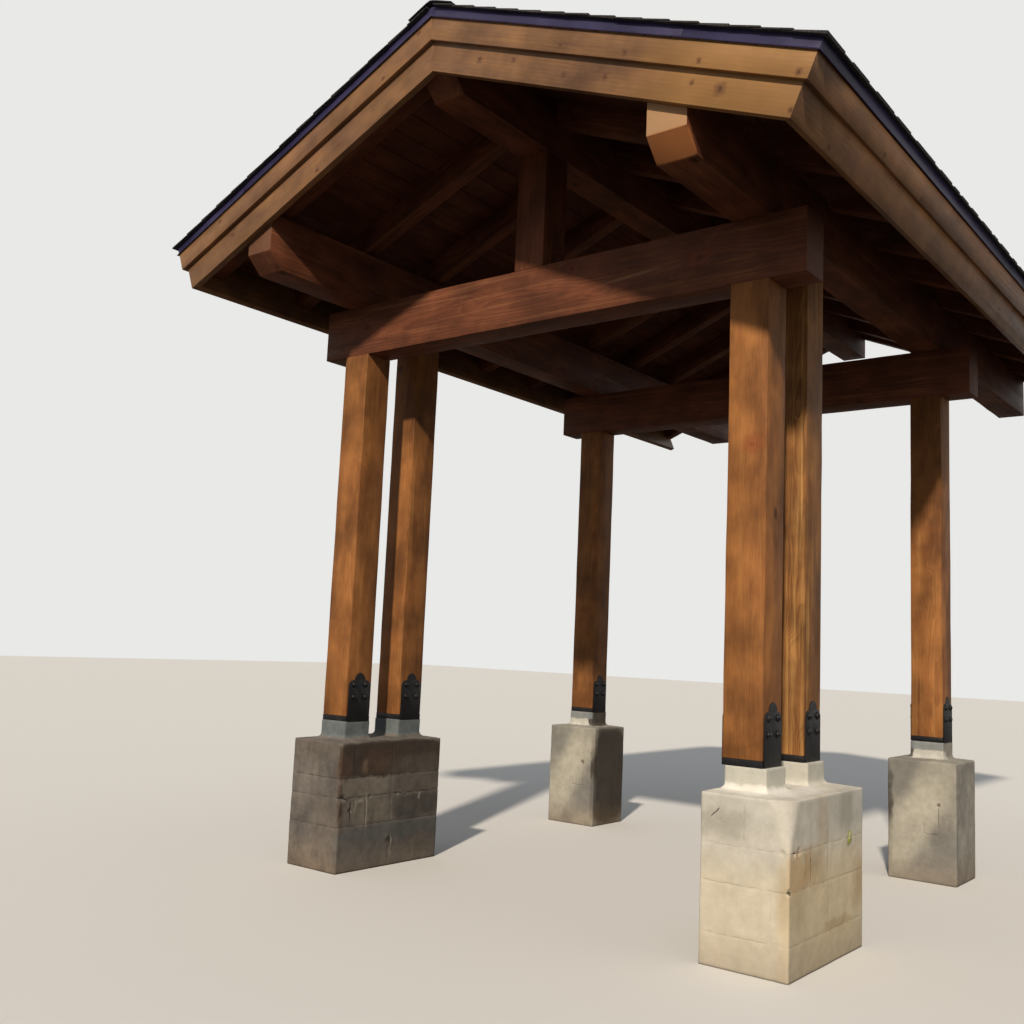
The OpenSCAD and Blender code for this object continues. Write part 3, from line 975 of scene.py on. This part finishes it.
# %% One pier
def make_pier(corner, posts, beds, uprights, chips, material, strokes=3, depth_mm=1.6,
              pads_aside=0.0, round_from=None):
    """Builds a pier, works it over and presses its joints and chips in.

    pads_aside: how far along X its pads stand off the middle of their posts."""
    low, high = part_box("pier_" + corner)
    boxes = [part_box("base_" + post) for post in posts]
    centres = [((a.x + b.x) / 2 + pads_aside, (a.y + b.y) / 2) for a, b in boxes]
    width = 2 * (HALF_POST + PAD_MARGIN)
    foot = width / 2 + PAD_COVE
    xs, ys = zip(*centres)
    foot_low = Vector((min(xs) - foot, min(ys) - foot, 0))
    foot_high = Vector((max(xs) + foot, max(ys) + foot, 0))
    solids = [pier_block(low, high, foot_low, foot_high)]
    solids += [mortar_pad(centre, width, high.z) for centre in centres]
    piece = trowelled(solids, strokes)
    if round_from:
        round_corner(piece, high.x, low.y, round_from)
    press_in(piece, beds, uprights, chips, depth_mm)
    with picked("FACE"):
        bpy.ops.mesh.faces_shade_smooth()
    keep(piece, "mortar", "pier_" + corner, material)


def seam_spots(beds, uprights, face):
    """Thin spots for the joint lines: level ones go all round, upright ones sit on a face."""
    spots = [((0, 0, bed), (9, 9, 0.0024)) for bed in beds]
    for axis, _, place, from_z, to_z in uprights:
        middle, reach = [0, 0, (from_z + to_z) / 2], [0.03, 0.03, (to_z - from_z) / 2]
        middle[axis], middle[1 - axis] = face[axis], place
        reach[1 - axis] = 0.0022
        spots.append((middle, reach))
    return spots


# %% [markdown]
# The mortar's colour is mostly what weather and work left on it, with
# some light and shade painted in. The sunny front pier is cream with grey
# hand marks, a brown stain by its corner and a spot of moss; painted
# highlights lie on its coves, a painted shadow under the moss and painted
# shade in a chip. The other front pier is patchy, block by block, and
# painted darker all over, partly by real staining and partly with painted
# shade: its inner side is dark brown at the top, grey at the foot, and
# split in two places. The rear piers carry a painted band of sunlight and
# a dark inner side that is partly painted shade. Each mark is a spot given
# by its middle and its reach in metres.

# %% The sunny front pier
def make_right_pier():
    low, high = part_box("pier_front_right")
    x, y, middle_x, middle_y = high.x, low.y, (low.x + high.x) / 2, (low.y + high.y) / 2
    beds = (0.140, 0.349, 0.505)
    uprights = [(1, -1, middle_x, 0.515, 0.68), (1, -1, x - 0.08, 0.15, 0.34),
                (0, 1, y + 0.222, 0.355, 0.50), (0, 1, middle_y, 0.36, 0.68),
                (0, 1, middle_y, 0.15, 0.34)]
    chips = [(x, y + 0.096, 0.505, 0.020, 0.006), (x, y + 0.006, 0.353, 0.016, 0.009),
             (x - 0.03, y, 0.505, 0.016, 0.004), (low.x + 0.09, y, 0.60, 0.010, 0.002),
             (x, y + 0.05, 0.499, 0.014, 0.005)]
    moss, moss_heart = (x, y + 0.651, 0.507), (x, y + 0.650, 0.512)
    layers = [
        ("#c4c2b6", 0.80, 0.25, [((1.305, y + 0.21, 0.80), (0.15, 0.15, 0.074)),
                                 ((1.305, y + 0.64, 0.80), (0.15, 0.15, 0.074))]),
        # Painted highlights along the coves at the pads' feet, where the sun catches them
        ("#f0ede4", 0.65, 0.60, [((1.31, y + 0.07, 0.728), (0.16, 0.06, 0.022)),
                                 ((1.45, y + 0.30, 0.726), (0.06, 0.24, 0.020))]),
        ("#dccfb2", 0.55, 0.60, [((middle_x, middle_y, 0.20), (0.5, 0.8, 0.24))]),
        ("#e0c793", 0.45, 0.90, [((x, middle_y, 0.24), (0.05, 0.46, 0.26))]),
        ("#bfbbb0", 0.55, 0.90, [((low.x, y, 0.66), (0.30, 0.05, 0.08)),
                                 ((x, y + 0.66, 0.65), (0.05, 0.26, 0.09))]),
        ("#8b8576", 0.42, 0.98, [((low.x + 0.100, y, 0.590), (0.12, 0.04, 0.055)),
                                 ((x, y + 0.62, 0.625), (0.04, 0.080, 0.085))]),
        ("#b39b76", 0.40, 0.90, [((x, y + 0.35, 0.600), (0.05, 0.060, 0.105)),
                                 ((x, y + 0.05, 0.300), (0.05, 0.12, 0.12))]),
        ("#d0ac7b", 0.66, 0.80, [((x, y + 0.112, 0.428), (0.010, 0.108, 0.076))]),
        ("#b5976d", 0.50, 0.95, [((x, y + 0.80, 0.290), (0.05, 0.10, 0.10)),
                                 ((x, y + 0.26, 0.425), (0.05, 0.10, 0.075)),
                                 ((x, y + 0.52, 0.155), (0.05, 0.14, 0.022))]),
        ("#7d6240", 0.50, 0.70, [((x, y + 0.222, 0.43), (0.03, 0.004, 0.060)),
                                 ((x, y + 0.160, 0.44), (0.03, 0.003, 0.045)),
                                 ((x, y + 0.10, 0.505), (0.02, 0.026, 0.005))]),
        # Painted shade in the hollow of the chip at the corner
        ("#3c3329", 0.85, 0.40, [((x, y + 0.006, 0.352), (0.016, 0.013, 0.006))]),
        # Painted shadow below the moss
        ("#33331f", 0.80, 0.60, [((x, y + 0.655, 0.498), (0.03, 0.022, 0.030))]),
        ("#b9bf4e", 0.95, 0.40, [(moss, (0.03, 0.018, 0.032)),
                                 (moss, (0.03, 0.021, 0.021), (EIGHTH_TURN, 0, 0))]),
        ("#f4f3b8", 0.95, 0.50, [(moss_heart, (0.03, 0.011, 0.019)),
                                 (moss_heart, (0.03, 0.012, 0.012), (EIGHTH_TURN, 0, 0))]),
    ]
    scratches = [((low.x + 0.070, y, 0.632), (0.002, 0.03, 0.026), (0, 0.76, 0)),
                 ((x, y + 0.045, 0.505), (0.02, 0.020, 0.0016))]
    make_pier("front_right", ("front_right", "second_right"), beds, uprights, chips,
              mortar("trowelled cement parging, sunny pier", "#dfdace", "#cbc5b7", "#9c8f78",
                     seam_spots(beds, uprights, (x, y)), layers, 3.1, run_show=0.16,
                     seam_show=0.42, wander=0.06, cracks=scratches),
              strokes=7, depth_mm=0.8, pads_aside=0.018, round_from=0.505)


# %% The patchy front pier, partly in painted shade
def make_left_pier():
    low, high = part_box("pier_front_left")
    x, y, middle_y = high.x, low.y, (low.y + high.y) / 2
    beds = (0.250, 0.408, 0.515)
    uprights = [(0, 1, middle_y, 0.26, 0.69), (0, 1, y + 0.21, 0.26, 0.40),
                (0, 1, y + 0.41, 0.05, 0.17)]
    chips = [(x, y, 0.515, 0.030, 0.008), (x, y, 0.408, 0.026, 0.010),
             (x, y + 0.03, 0.408, 0.022, 0.007), (x, y, 0.30, 0.030, 0.006),
             (x, y + 0.405, 0.140, 0.022, 0.006), (x, y + 0.085, 0.335, 0.016, 0.006),
             (x, y + 0.24, 0.406, 0.012, 0.005), (x, y + 0.46, 0.402, 0.012, 0.005)]
    # This pier is painted darker all over than the sunny one: partly real stains and damp, partly
    # painted shade. The blue grey of its pads and the dark inner side carry painted shade too.
    layers = [
        ("#6c7476", 0.85, 0.22, [((-1.2875, y + 0.21, 0.80), (0.15, 0.15, 0.074)),
                                 ((-1.2875, y + 0.64, 0.80), (0.15, 0.15, 0.074))]),
        ("#6b6259", 0.60, 0.95, [((low.x + 0.20, y, 0.69), (0.30, 0.03, 0.09)),
                                 ((low.x + 0.33, y, 0.28), (0.14, 0.03, 0.14))]),
        ("#42372e", 0.92, 0.22, [((x, middle_y, 0.615), (0.03, 0.44, 0.102))]),
        ("#594436", 0.60, 0.95, [((x, y + 0.30, 0.600), (0.04, 0.13, 0.065)),
                                 ((x, y + 0.03, 0.565), (0.04, 0.05, 0.060))]),
        ("#655c52", 0.55, 0.95, [((x, y + 0.62, 0.560), (0.04, 0.22, 0.060))]),
        ("#837a6b", 0.72, 0.60, [((x, y + 0.22, 0.460), (0.03, 0.19, 0.050))]),
        ("#625a50", 0.72, 0.60, [((x, y + 0.62, 0.465), (0.03, 0.20, 0.050))]),
        ("#7d7567", 0.70, 0.60, [((x, y + 0.24, 0.328), (0.03, 0.17, 0.072))]),
        ("#48443f", 0.80, 0.60, [((x, y + 0.64, 0.322), (0.03, 0.19, 0.066))]),
        ("#62625f", 0.80, 0.20, [((x, middle_y, 0.115), (0.03, 0.44, 0.130))]),
        ("#4d4c4a", 0.60, 0.95, [((x, y + 0.66, 0.15), (0.03, 0.20, 0.090))]),
        ("#4d3c30", 0.72, 0.90, [((x, y + 0.004, 0.600), (0.016, 0.022, 0.090)),
                                 ((x, y + 0.004, 0.440), (0.012, 0.016, 0.060)),
                                 ((x, y + 0.010, 0.320), (0.014, 0.026, 0.060))]),
        ("#aaa494", 0.55, 0.90, [((x, y + 0.210, 0.330), (0.02, 0.006, 0.080)),
                                 ((x, y + 0.125, 0.365), (0.02, 0.006, 0.030)),
                                 ((x, y + 0.160, 0.385), (0.02, 0.020, 0.010)),
                                 ((x, y + 0.420, 0.110), (0.02, 0.005, 0.055)),
                                 ((x, y + 0.655, 0.375), (0.02, 0.012, 0.020))]),
        ("#7e6a55", 0.50, 0.98, [((x, y + 0.190, 0.575), (0.02, 0.018, 0.038))]),
        ("#57504a", 0.55, 0.98, [((low.x + 0.130, y, 0.645), (0.010, 0.03, 0.045)),
                                 ((low.x + 0.290, y, 0.660), (0.008, 0.03, 0.040))]),
        # Near black: painted shade in two chip hollows, and one dark open joint line
        ("#241d18", 0.85, 0.70, [((x, y + 0.030, 0.408), (0.02, 0.030, 0.005)),
                                 ((x, y + 0.620, 0.404), (0.02, 0.190, 0.0028)),
                                 ((x, y + 0.404, 0.142), (0.02, 0.009, 0.026))]),
    ]
    cracks = [((x, y + 0.095, 0.642), (0.02, 0.0024, 0.062)),
              ((x, y + 0.086, 0.335), (0.02, 0.0034, 0.052)),
              ((x, y + 0.135, 0.325), (0.02, 0.0012, 0.040)),
              ((x, y + 0.270, 0.300), (0.02, 0.0012, 0.034)),
              ((x, y + 0.016, 0.350), (0.02, 0.0020, 0.040))]
    # Its body colours are partly painted shade
    make_pier("front_left", ("front_left", "second_left"), beds, uprights, chips,
              mortar("trowelled cement parging, patchy pier with painted shade", "#7b746c", "#625c56", "#463e36",
                     seam_spots(beds, uprights, (x, y)), layers, 8.4, run_show=0.32,
                     seam_show=0.75, mottle=0.21, wander=0.055, cracks=cracks),
              strokes=2)


# %% The rear piers
def make_rear_piers():
    for corner, side, seed in (("rear_left", LEFT, 12.7), ("rear_right", RIGHT, 17.9)):
        low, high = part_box("pier_" + corner)
        inner = high.x if side == LEFT else low.x
        y, middle_x, middle_y = low.y, (low.x + high.x) / 2, (low.y + high.y) / 2
        uprights = [(1, -1, middle_x + 0.100, 0.293, 0.455),
                    (1, -1, middle_x + 0.015, 0.284, 0.346)]
        chip = (middle_x + 0.100, y, 0.458)
        layers = [
            # Painted highlight along the cove at the pad's front foot
            ("#dcd9cf", 0.60, 0.35, [((middle_x, middle_y - 0.09, 0.745), (0.13, 0.05, 0.026))]),
            ("#807e77", 0.70, 0.80, [((middle_x - 0.13, y, 0.62), (0.11, 0.04, 0.12))]),
            # The inner side and the inner side of the pad are painted dark: partly a dark stain,
            # partly painted shade
            ("#3b332b", 0.90, 0.25, [((inner, middle_y, 0.36), (0.04, 0.22, 0.36)),
                                     ((inner + side * 0.104, middle_y, 0.79), (0.03, 0.13, 0.08))]),
            ("#787671", 0.65, 0.80, [((middle_x + 0.14, y, 0.22), (0.08, 0.04, 0.12))]),
            ("#878d8f", 0.75, 0.40, [((middle_x, middle_y - 0.10, 0.805), (0.12, 0.03, 0.034))]),
            # A diagonal band of painted sunlight crosses the front face, between darker grey
            # patches above left and below right
            ("#cfc8b4", 0.55, 0.98, [((middle_x - 0.03, y, 0.38), (0.11, 0.04, 0.34),
                                      (0, 0.52, 0))]),
            # Painted shade in the chip, and a dark hairline joint beside it
            ("#5f564a", 0.70, 0.60, [(chip, (0.009, 0.03, 0.012)),
                                     ((middle_x + 0.057, y, 0.290), (0.044, 0.03, 0.0020))]),
        ]
        name = f"trowelled cement parging, {corner.replace('_', ' ')} pier"
        make_pier(corner, (corner,), (), uprights, [(*chip, 0.012, 0.006)],
                  mortar(name, "#a8a396", "#88837b", "#7d7366",
                         seam_spots((), uprights, (low.x, y)), layers, seed, mottle=0.14))


make_right_pier()
make_left_pier()
make_rear_piers()

# %% [markdown]
# ## Roof boards
# The roof is laid with tongue and groove boards that run along the ridge.
# From below each joint shows as a small V. One board is shaped with two
# bevelled lower edges and copied down the slope. The joints between board
# ends always fall on a rafter, so each row is cut at rafter middles.

# %% Boards and sheathing
BOARD_W, V_GROOVE, ROW_GAP, END_GAP = 0.1335, 0.005, 0.0008, 0.0005
PURPLE_PINE = dict(early="#6f412d", late="#4b2819", streak="#85573f", knot="#2a150e")


def deck_board(s_low, s_high, y_low, y_high):
    piece = block((s_low, y_low, 0.0), (s_high, y_high, DECK_T))
    with picked("EDGE", lambda middle, way: abs(way.y) > 0.9 and middle.z < 0.001):
        bpy.ops.mesh.bevel(offset=V_GROOVE, segments=1, affect="EDGES")
    return piece


def make_decking():
    end_s = FRAME_S + LOWER_T + UPPER_T
    y_front = FRAME_Y - LOWER_T - UPPER_T
    for side in (LEFT, RIGHT):
        rng = random.Random(11 + side)
        middles = [y + RAFTER_W / 2 for y in rafter_ys(side)]
        boards = []
        for row in range(math.ceil(end_s / BOARD_W) + 1):
            s_high = end_s - row * BOARD_W
            s_low = max(s_high - BOARD_W, -0.05)
            if s_high < 0.02:
                continue
            ends = [y_front] + sorted(rng.sample(middles[3:-2], 2)) + [BACK_Y]
            boards += [deck_board(s_low, s_high - ROW_GAP, start + END_GAP, stop - END_GAP)
                       for start, stop in zip(ends, ends[1:])]
        join(boards)
        piece = lay_on_slope(side)
        cut_at_peak(side)
        row_w = BOARD_W * math.cos(PITCH)
        first_row = (BOARD_W - (end_s % BOARD_W)) * math.cos(PITCH)
        keep(piece, "boards", SIDE_NAME[side] + "_decking", wood(
            "stained tongue and groove pine, " + SIDE_NAME[side], (0, 0, PEAK_Z), ALONG_Y,
            ring_mm=7, pith=(0.12, 0.3), knot_gap=0.5, bump_mm=0.5, streaks=0.3,
            cell=("X", row_w, first_row), **PURPLE_PINE))


make_decking()

# %% [markdown]
# ## Trim
# A wide lower board and a narrower upper board run up both rakes and along
# both eaves, and meet in a mitre at each corner. They are clear finished
# pine with small knots. Each is a block laid on the slope, cut plumb at
# the peak and on the mitre's plane at the corner.

# %% Trim boards
PALE_PINE = dict(early="#966e4a", late="#70513f", streak="#ab825a", knot="#5f3b2a",
                 end="#9a744e")
# Knots that show on the two front boards to the right of the peak: x, z and size
SHOWN_KNOTS = {
    "right_rake_lower": [(0.299, 3.998, 1.1), (0.503, 3.930, 0.8), (0.788, 3.767, 0.9),
                         (1.006, 3.692, 1.0), (1.422, 3.537, 0.8), (1.546, 3.473, 1.8),
                         (1.839, 3.302, 0.9)],
    "right_rake_upper": [(0.781, 3.896, 0.7), (1.117, 3.753, 0.8), (1.464, 3.605, 0.8),
                         (1.879, 3.428, 1.0)],
}


def mitre_plane(side, run):
    """The plane at 45 degrees in the slope through the frame's corner, as cut() takes it."""
    way = 1 if run == "rake" else -1
    normal = Vector((side * math.cos(PITCH), 1, -math.sin(PITCH))) * way
    return on_slope(side, FRAME_S, FRAME_Y, 0), normal


def trim_board(side, run, out_low, out_high, width):
    """A board that stands out from the frame between two distances, on a rake or an eave."""
    if run == "rake":
        block((PAST_PEAK, FRAME_Y - out_high, -width), (EDGE_S, FRAME_Y - out_low, 0))
    else:
        block((FRAME_S + out_low, EDGE_Y, -width), (FRAME_S + out_high, BACK_Y, 0))
    piece = lay_on_slope(side)
    if run == "rake":
        cut_at_peak(side)
    cut(*mitre_plane(side, run))
    ease_edges(0.002)
    return piece


def shown_knots(knots, y):
    """Eyes and marks for knots at known places. Towards the eave the board is painted golden:
    partly painted sunlight, partly a paler tone of the pine.
    """
    eyes = [((x, y, z), (0.034 * size, 0.05, 0.028 * size)) for x, z, size in knots]
    rims = [((x, y, z), (0.014 * size, 0.03, 0.015 * size)) for x, z, size in knots]
    hearts = [((x, y, z), (0.005 * size, 0.03, 0.007 * size)) for x, z, size in knots]
    # A broad pool of painted sunlight towards the eave, partly a paler tone of the pine
    golden = [((1.62, y, 3.45), (0.42, 0.05, 0.30))]
    marks = [("#b98a4e", 0.45, 0.95, golden), ("#6b4734", 0.60, 0.80, rims),
             ("#3f271b", 0.60, 0.60, hearts)]
    return eyes, marks, 1.2


def make_trim():
    layers = (("lower", 0, LOWER_T, LOWER_W), ("upper", LOWER_T, LOWER_T + UPPER_T, UPPER_W))
    for side, run, (layer, *sizes) in product((LEFT, RIGHT), ("rake", "eave"), layers):
        piece = trim_board(side, run, *sizes)
        node = f"{SIDE_NAME[side]}_{run}_{layer}"
        seed = 3.0 * side + (1.3 if layer == "upper" else 0.0)
        centre = on_slope(side, 0, FRAME_Y, -0.12) + Vector((0, seed, seed))
        turn, through = (DOWN_SLOPE[side], "Y") if run == "rake" else (ALONG_Y, "X")
        eyes, marks, knot_gap = (), (), 0.4
        if node in SHOWN_KNOTS:
            eyes, marks, knot_gap = shown_knots(SHOWN_KNOTS[node], FRAME_Y - sizes[1])
        keep(piece, "trim", node, wood(
            "clear finished pine, " + node.replace("_", " "), centre, turn, ring_mm=12,
            pith=(0.10, 0.22), knot_gap=knot_gap, knot_size=0.014 / knot_gap, through=through,
            rough=0.5, bump_mm=0.25, streaks=0.3, ring_show=0.22, blotch=0.34, eyes=eyes,
            marks=marks, **PALE_PINE))


make_trim()

# %% [markdown]
# ## Drip edge
# The drip edge is folded from sheet metal with a baked paint finish: a
# flange under the shingles, a face that hangs over the upper board and a
# hem that kicks out. The fold is drawn as a strip extruded edge by edge,
# cut to its mitres while it is still thin, and then given its thickness.

# %% Drip edge
# Coil coated steel: smooth and faintly wavy where it was folded by hand
DRIP_PAINT = painted_metal("blue grey coil coated steel", "#2c2845", "#3f3a5c", (5.0, 0.6),
                           (0.35, 0.7, 1.0), (0.28, 0.42), 14.0, (0.5, 0.002), 0.2)
FLANGE, HEM_H, KICK = 0.060, 0.009, 0.012
# The second length on a run is pushed this far under the first, where they lap
LAP = -0.0012


def folded_strip(run, start, stop, lift):
    """The fold lying flat: across it runs away from the frame, along it runs start to stop."""
    top = DECK_T + SHEATHING_T + DRIP_T / 2
    out = LOWER_T + UPPER_T + DRIP_T / 2 + lift
    start_clean()
    bpy.ops.mesh.primitive_plane_add(size=1)
    piece = bpy.context.object
    if run == "rake":
        piece.scale = (stop - start, FLANGE, 1)
        piece.location = ((start + stop) / 2, FRAME_Y - out + FLANGE / 2, top)
        away, axis, far = Vector((0, -1, 0)), 1, FRAME_Y - out
    else:
        piece.scale = (FLANGE, stop - start, 1)
        piece.location = (FRAME_S + out - FLANGE / 2, (start + stop) / 2, top)
        away, axis, far = Vector((1, 0, 0)), 0, FRAME_S + out
    settle_transform()
    with picked("EDGE", lambda middle, way: abs(middle[axis] - far) < 0.001):
        extrude((0, 0, -(top - HEM_H)))
        extrude(away * (KICK - DRIP_T) + Vector((0, 0, -HEM_H + DRIP_T / 2)))
    face_outwards()


def drip_edge(side, run, start, stop, lift):
    folded_strip(run, start, stop, lift)
    piece = lay_on_slope(side)
    if run == "rake":
        cut((0, 0, 0), (-side, 0, 0), fill=False)
    cut(*mitre_plane(side, run), fill=False)
    apply_modifier("SOLIDIFY", thickness=DRIP_T * 0.9, offset=0.0)
    ease_edges(0.0006)
    return piece


def make_drip():
    lengths = {"rake": [(PAST_PEAK, 1.49, 0.0), (1.45, EDGE_S + 0.05, LAP)],
               "eave": [(EDGE_Y - 0.05, 0.24, 0.0), (0.20, BACK_Y, LAP)]}
    for side, run in product((LEFT, RIGHT), lengths):
        strips = [drip_edge(side, run, *length) for length in lengths[run]]
        keep(join(strips), "metal", f"{SIDE_NAME[side]}_{run}_drip", DRIP_PAINT)


make_drip()

# %% [markdown]
# ## Shingles
# Laminated asphalt shingles have a plain lower layer and an upper layer
# cut into teeth of uneven width. Each course laps the one below, so a
# course is a thin wedge, thick at its lower edge. The ends along the rake
# are cut by eye, which leaves the ragged steps that show against the sky.

# %% Granule materials
def granules(name, dark, light, speck):
    """Ceramic coated stone granules in asphalt, 1.5 mm each, drawn as 4 mm to show."""
    material, shader, add = new_material(name)
    place = add("TexCoord").outputs["Object"]
    grit = add("TexVoronoi", {"Scale": 250.0, "Vector": place}).outputs
    pieces = add("SeparateColor", {0: grit["Color"]}).outputs
    colour = add("Mix", {"data_type": "RGBA", 0: pieces["Red"], 6: tone(dark), 7: tone(light)})
    rare = add("Math", {"operation": "GREATER_THAN", 0: pieces["Green"], 1: 0.90})
    specked = add("Mix", {"data_type": "RGBA", 0: rare, 6: colour, 7: tone(speck)})
    bump = add("Bump", {"Strength": 0.8, "Distance": 0.0012, "Height": grit["Distance"]})
    wire(shader, {"Base Color": specked, "Roughness": 0.93, "Normal": bump})
    return material


GRANULES = [
    granules("black granules on asphalt", "#19191b", "#2e2d30", "#4a4744"),
    granules("charcoal granules on asphalt", "#232224", "#3a383b", "#5a544e"),
    granules("brown black granules on asphalt", "#211d1b", "#38312c", "#5c5044"),
]

# %% One course and its teeth
BUTT_T, TOP_T, LAYER_T, STRIP_GAP = 0.012, 0.006, 0.0055, 0.0012
TOOTH_WIDTHS, TOOTH_GAPS = (0.06, 0.085, 0.11, 0.14, 0.17), (0.0015, 0.04, 0.06, 0.085)


def wedge(under_butt, over_butt, over_top, material):
    """A shingle 1 m each way: a block whose upper end is brought down to lie on the roof."""
    piece = block((-1, 0, SHINGLE_N + under_butt), (0, 1, SHINGLE_N + over_butt))
    half_way = SHINGLE_N + (under_butt + over_butt) / 2
    with picked("VERT", lambda co: co.x < -0.999 and co.z > half_way):
        bpy.ops.transform.translate(value=(0, 0, over_top - over_butt))
    with picked("VERT", lambda co: co.x < -0.999 and co.z < SHINGLE_N + under_butt + 0.0001):
        bpy.ops.transform.translate(value=(0, 0, -under_butt))
    piece.data.materials.append(material)
    return piece


def make_shingles():
    black, charcoal, brown = GRANULES
    under = BUTT_T - LAYER_T
    for side in (LEFT, RIGHT):
        rng = random.Random(101 + side)
        base = wedge(0.0, under, TOP_T - 0.0045, charcoal)
        tooth = wedge(under - 0.0015, BUTT_T, TOP_T, black)
        pieces = []
        for course in range(math.ceil(EDGE_S / EXPOSURE)):
            butt = EDGE_S - course * EXPOSURE
            length = butt - max(butt - EXPOSURE, 0.0)
            y = EDGE_Y + rng.uniform(0.0, 0.007)
            first = True
            while y < BACK_Y - 0.01:
                stop = min(y + (rng.uniform(0.3, 1.0) if first else 1.0), BACK_Y)
                pieces.append(copy_of(base, (butt, y, 0), (length, stop - y - STRIP_GAP, 1)))
                y, first = stop, False
            y = EDGE_Y + rng.uniform(0.0, 0.006)
            while y < BACK_Y - 0.02:
                stop = min(y + rng.choice(TOOTH_WIDTHS), BACK_Y)
                drop = rng.uniform(0.0, 0.0015)
                twin = copy_of(tooth, (butt - drop, y, 0), (length - drop, stop - y, 1))
                twin.data.materials[0] = rng.choice((black, black, charcoal, brown))
                pieces.append(twin)
                y = stop + rng.choice(TOOTH_GAPS)
        join(pieces)
        for pattern in (base, tooth):
            bpy.data.objects.remove(pattern)
        piece = lay_on_slope(side)
        cut_at_peak(side)
        keep(piece, "asphalt", SIDE_NAME[side] + "_shingles")


make_shingles()

# %% [markdown]
# The ridge is closed with single shingles folded over it, each lapping
# the one behind it. One is folded from a flat sheet by lowering its sides
# to the pitch, and copied along the ridge at the same exposure.

# %% Ridge caps
CAP_W, CAP_L, CAP_T, CAP_DROP, FOLD_R = 0.150, 0.30, 0.0045, 0.0055, 0.012


def one_cap():
    """A folded cap from y = 0, its thick exposed end, back to its length."""
    start_clean()
    bpy.ops.mesh.primitive_grid_add(x_subdivisions=12, y_subdivisions=1, size=1,
                                    location=(0, CAP_L / 2, 0))
    piece = bpy.context.object
    piece.scale = (2 * CAP_W * math.cos(PITCH), CAP_L, 1)
    settle_transform()
    for vertex in piece.data.vertices:
        fold = math.sqrt(vertex.co.x ** 2 + FOLD_R ** 2) - FOLD_R
        vertex.co.z = -math.tan(PITCH) * fold
        vertex.co.z -= CAP_DROP * vertex.co.y / CAP_L / math.cos(PITCH)
    apply_modifier("SOLIDIFY", thickness=CAP_T, offset=1.0)
    return piece


def make_ridge_cap():
    cap = one_cap()
    rng = random.Random(7)
    caps = []
    y = EDGE_Y
    while y < BACK_Y - 0.03:
        stretch = min(1.0, (BACK_Y - 0.0005 - y) / CAP_L)
        twin = copy_of(cap, (rng.uniform(-0.002, 0.002), y, 0), (1, stretch, 1))
        twin.data.materials.append(rng.choice(GRANULES))
        caps.append(twin)
        y += EXPOSURE
    bpy.data.objects.remove(cap)
    piece = join(caps)
    highest = max(vertex.co.z for vertex in piece.data.vertices)
    piece.location.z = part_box("ridge_cap")[1].z - highest - 0.0003
    keep(piece, "asphalt", "ridge_cap")


make_ridge_cap()

# %% [markdown]
# ## Sheathing
# The sheathing is plywood. It only shows as a thin edge at the back end,
# so the CAD part stays and takes a material with its plies.

# %% Plywood
PLY_PAIR = 0.006


def plywood(side):
    material, shader, add = new_material("fir plywood, " + SIDE_NAME[side])
    place = add("TexCoord").outputs["Object"]
    flat = add("Mapping", {"vector_type": "TEXTURE", "Location": (0, 0, PEAK_Z),
                           "Rotation": (0, side * PITCH, 0), "Vector": place})
    # Plies 3 mm thick, light and dark in turn
    plies = add("TexWave", {"wave_type": "BANDS", "bands_direction": "Z",
                            "Scale": WAVE_UNIT / PLY_PAIR, "Vector": flat})
    long_grain = add("Mapping", {"Scale": (90, 3, 90), "Vector": flat})
    grain = add("TexNoise", {"Scale": 1.0, "Detail": 4.0, "Vector": long_grain})
    mixed = add("Math", {"operation": "MULTIPLY", 0: plies.outputs["Fac"], 1: grain})
    colour = add("Mix", {"data_type": "RGBA", 0: mixed, 6: tone("#c29a63"), 7: tone("#8a6236")})
    bump = add("Bump", {"Strength": 0.5, "Distance": 0.0006, "Height": grain})
    wire(shader, {"Base Color": colour, "Roughness": 0.8, "Normal": bump})
    return material


for side in (LEFT, RIGHT):
    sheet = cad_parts[SIDE_NAME[side] + "_sheathing"]
    sheet.data.materials.clear()
    sheet.data.materials.append(plywood(side))
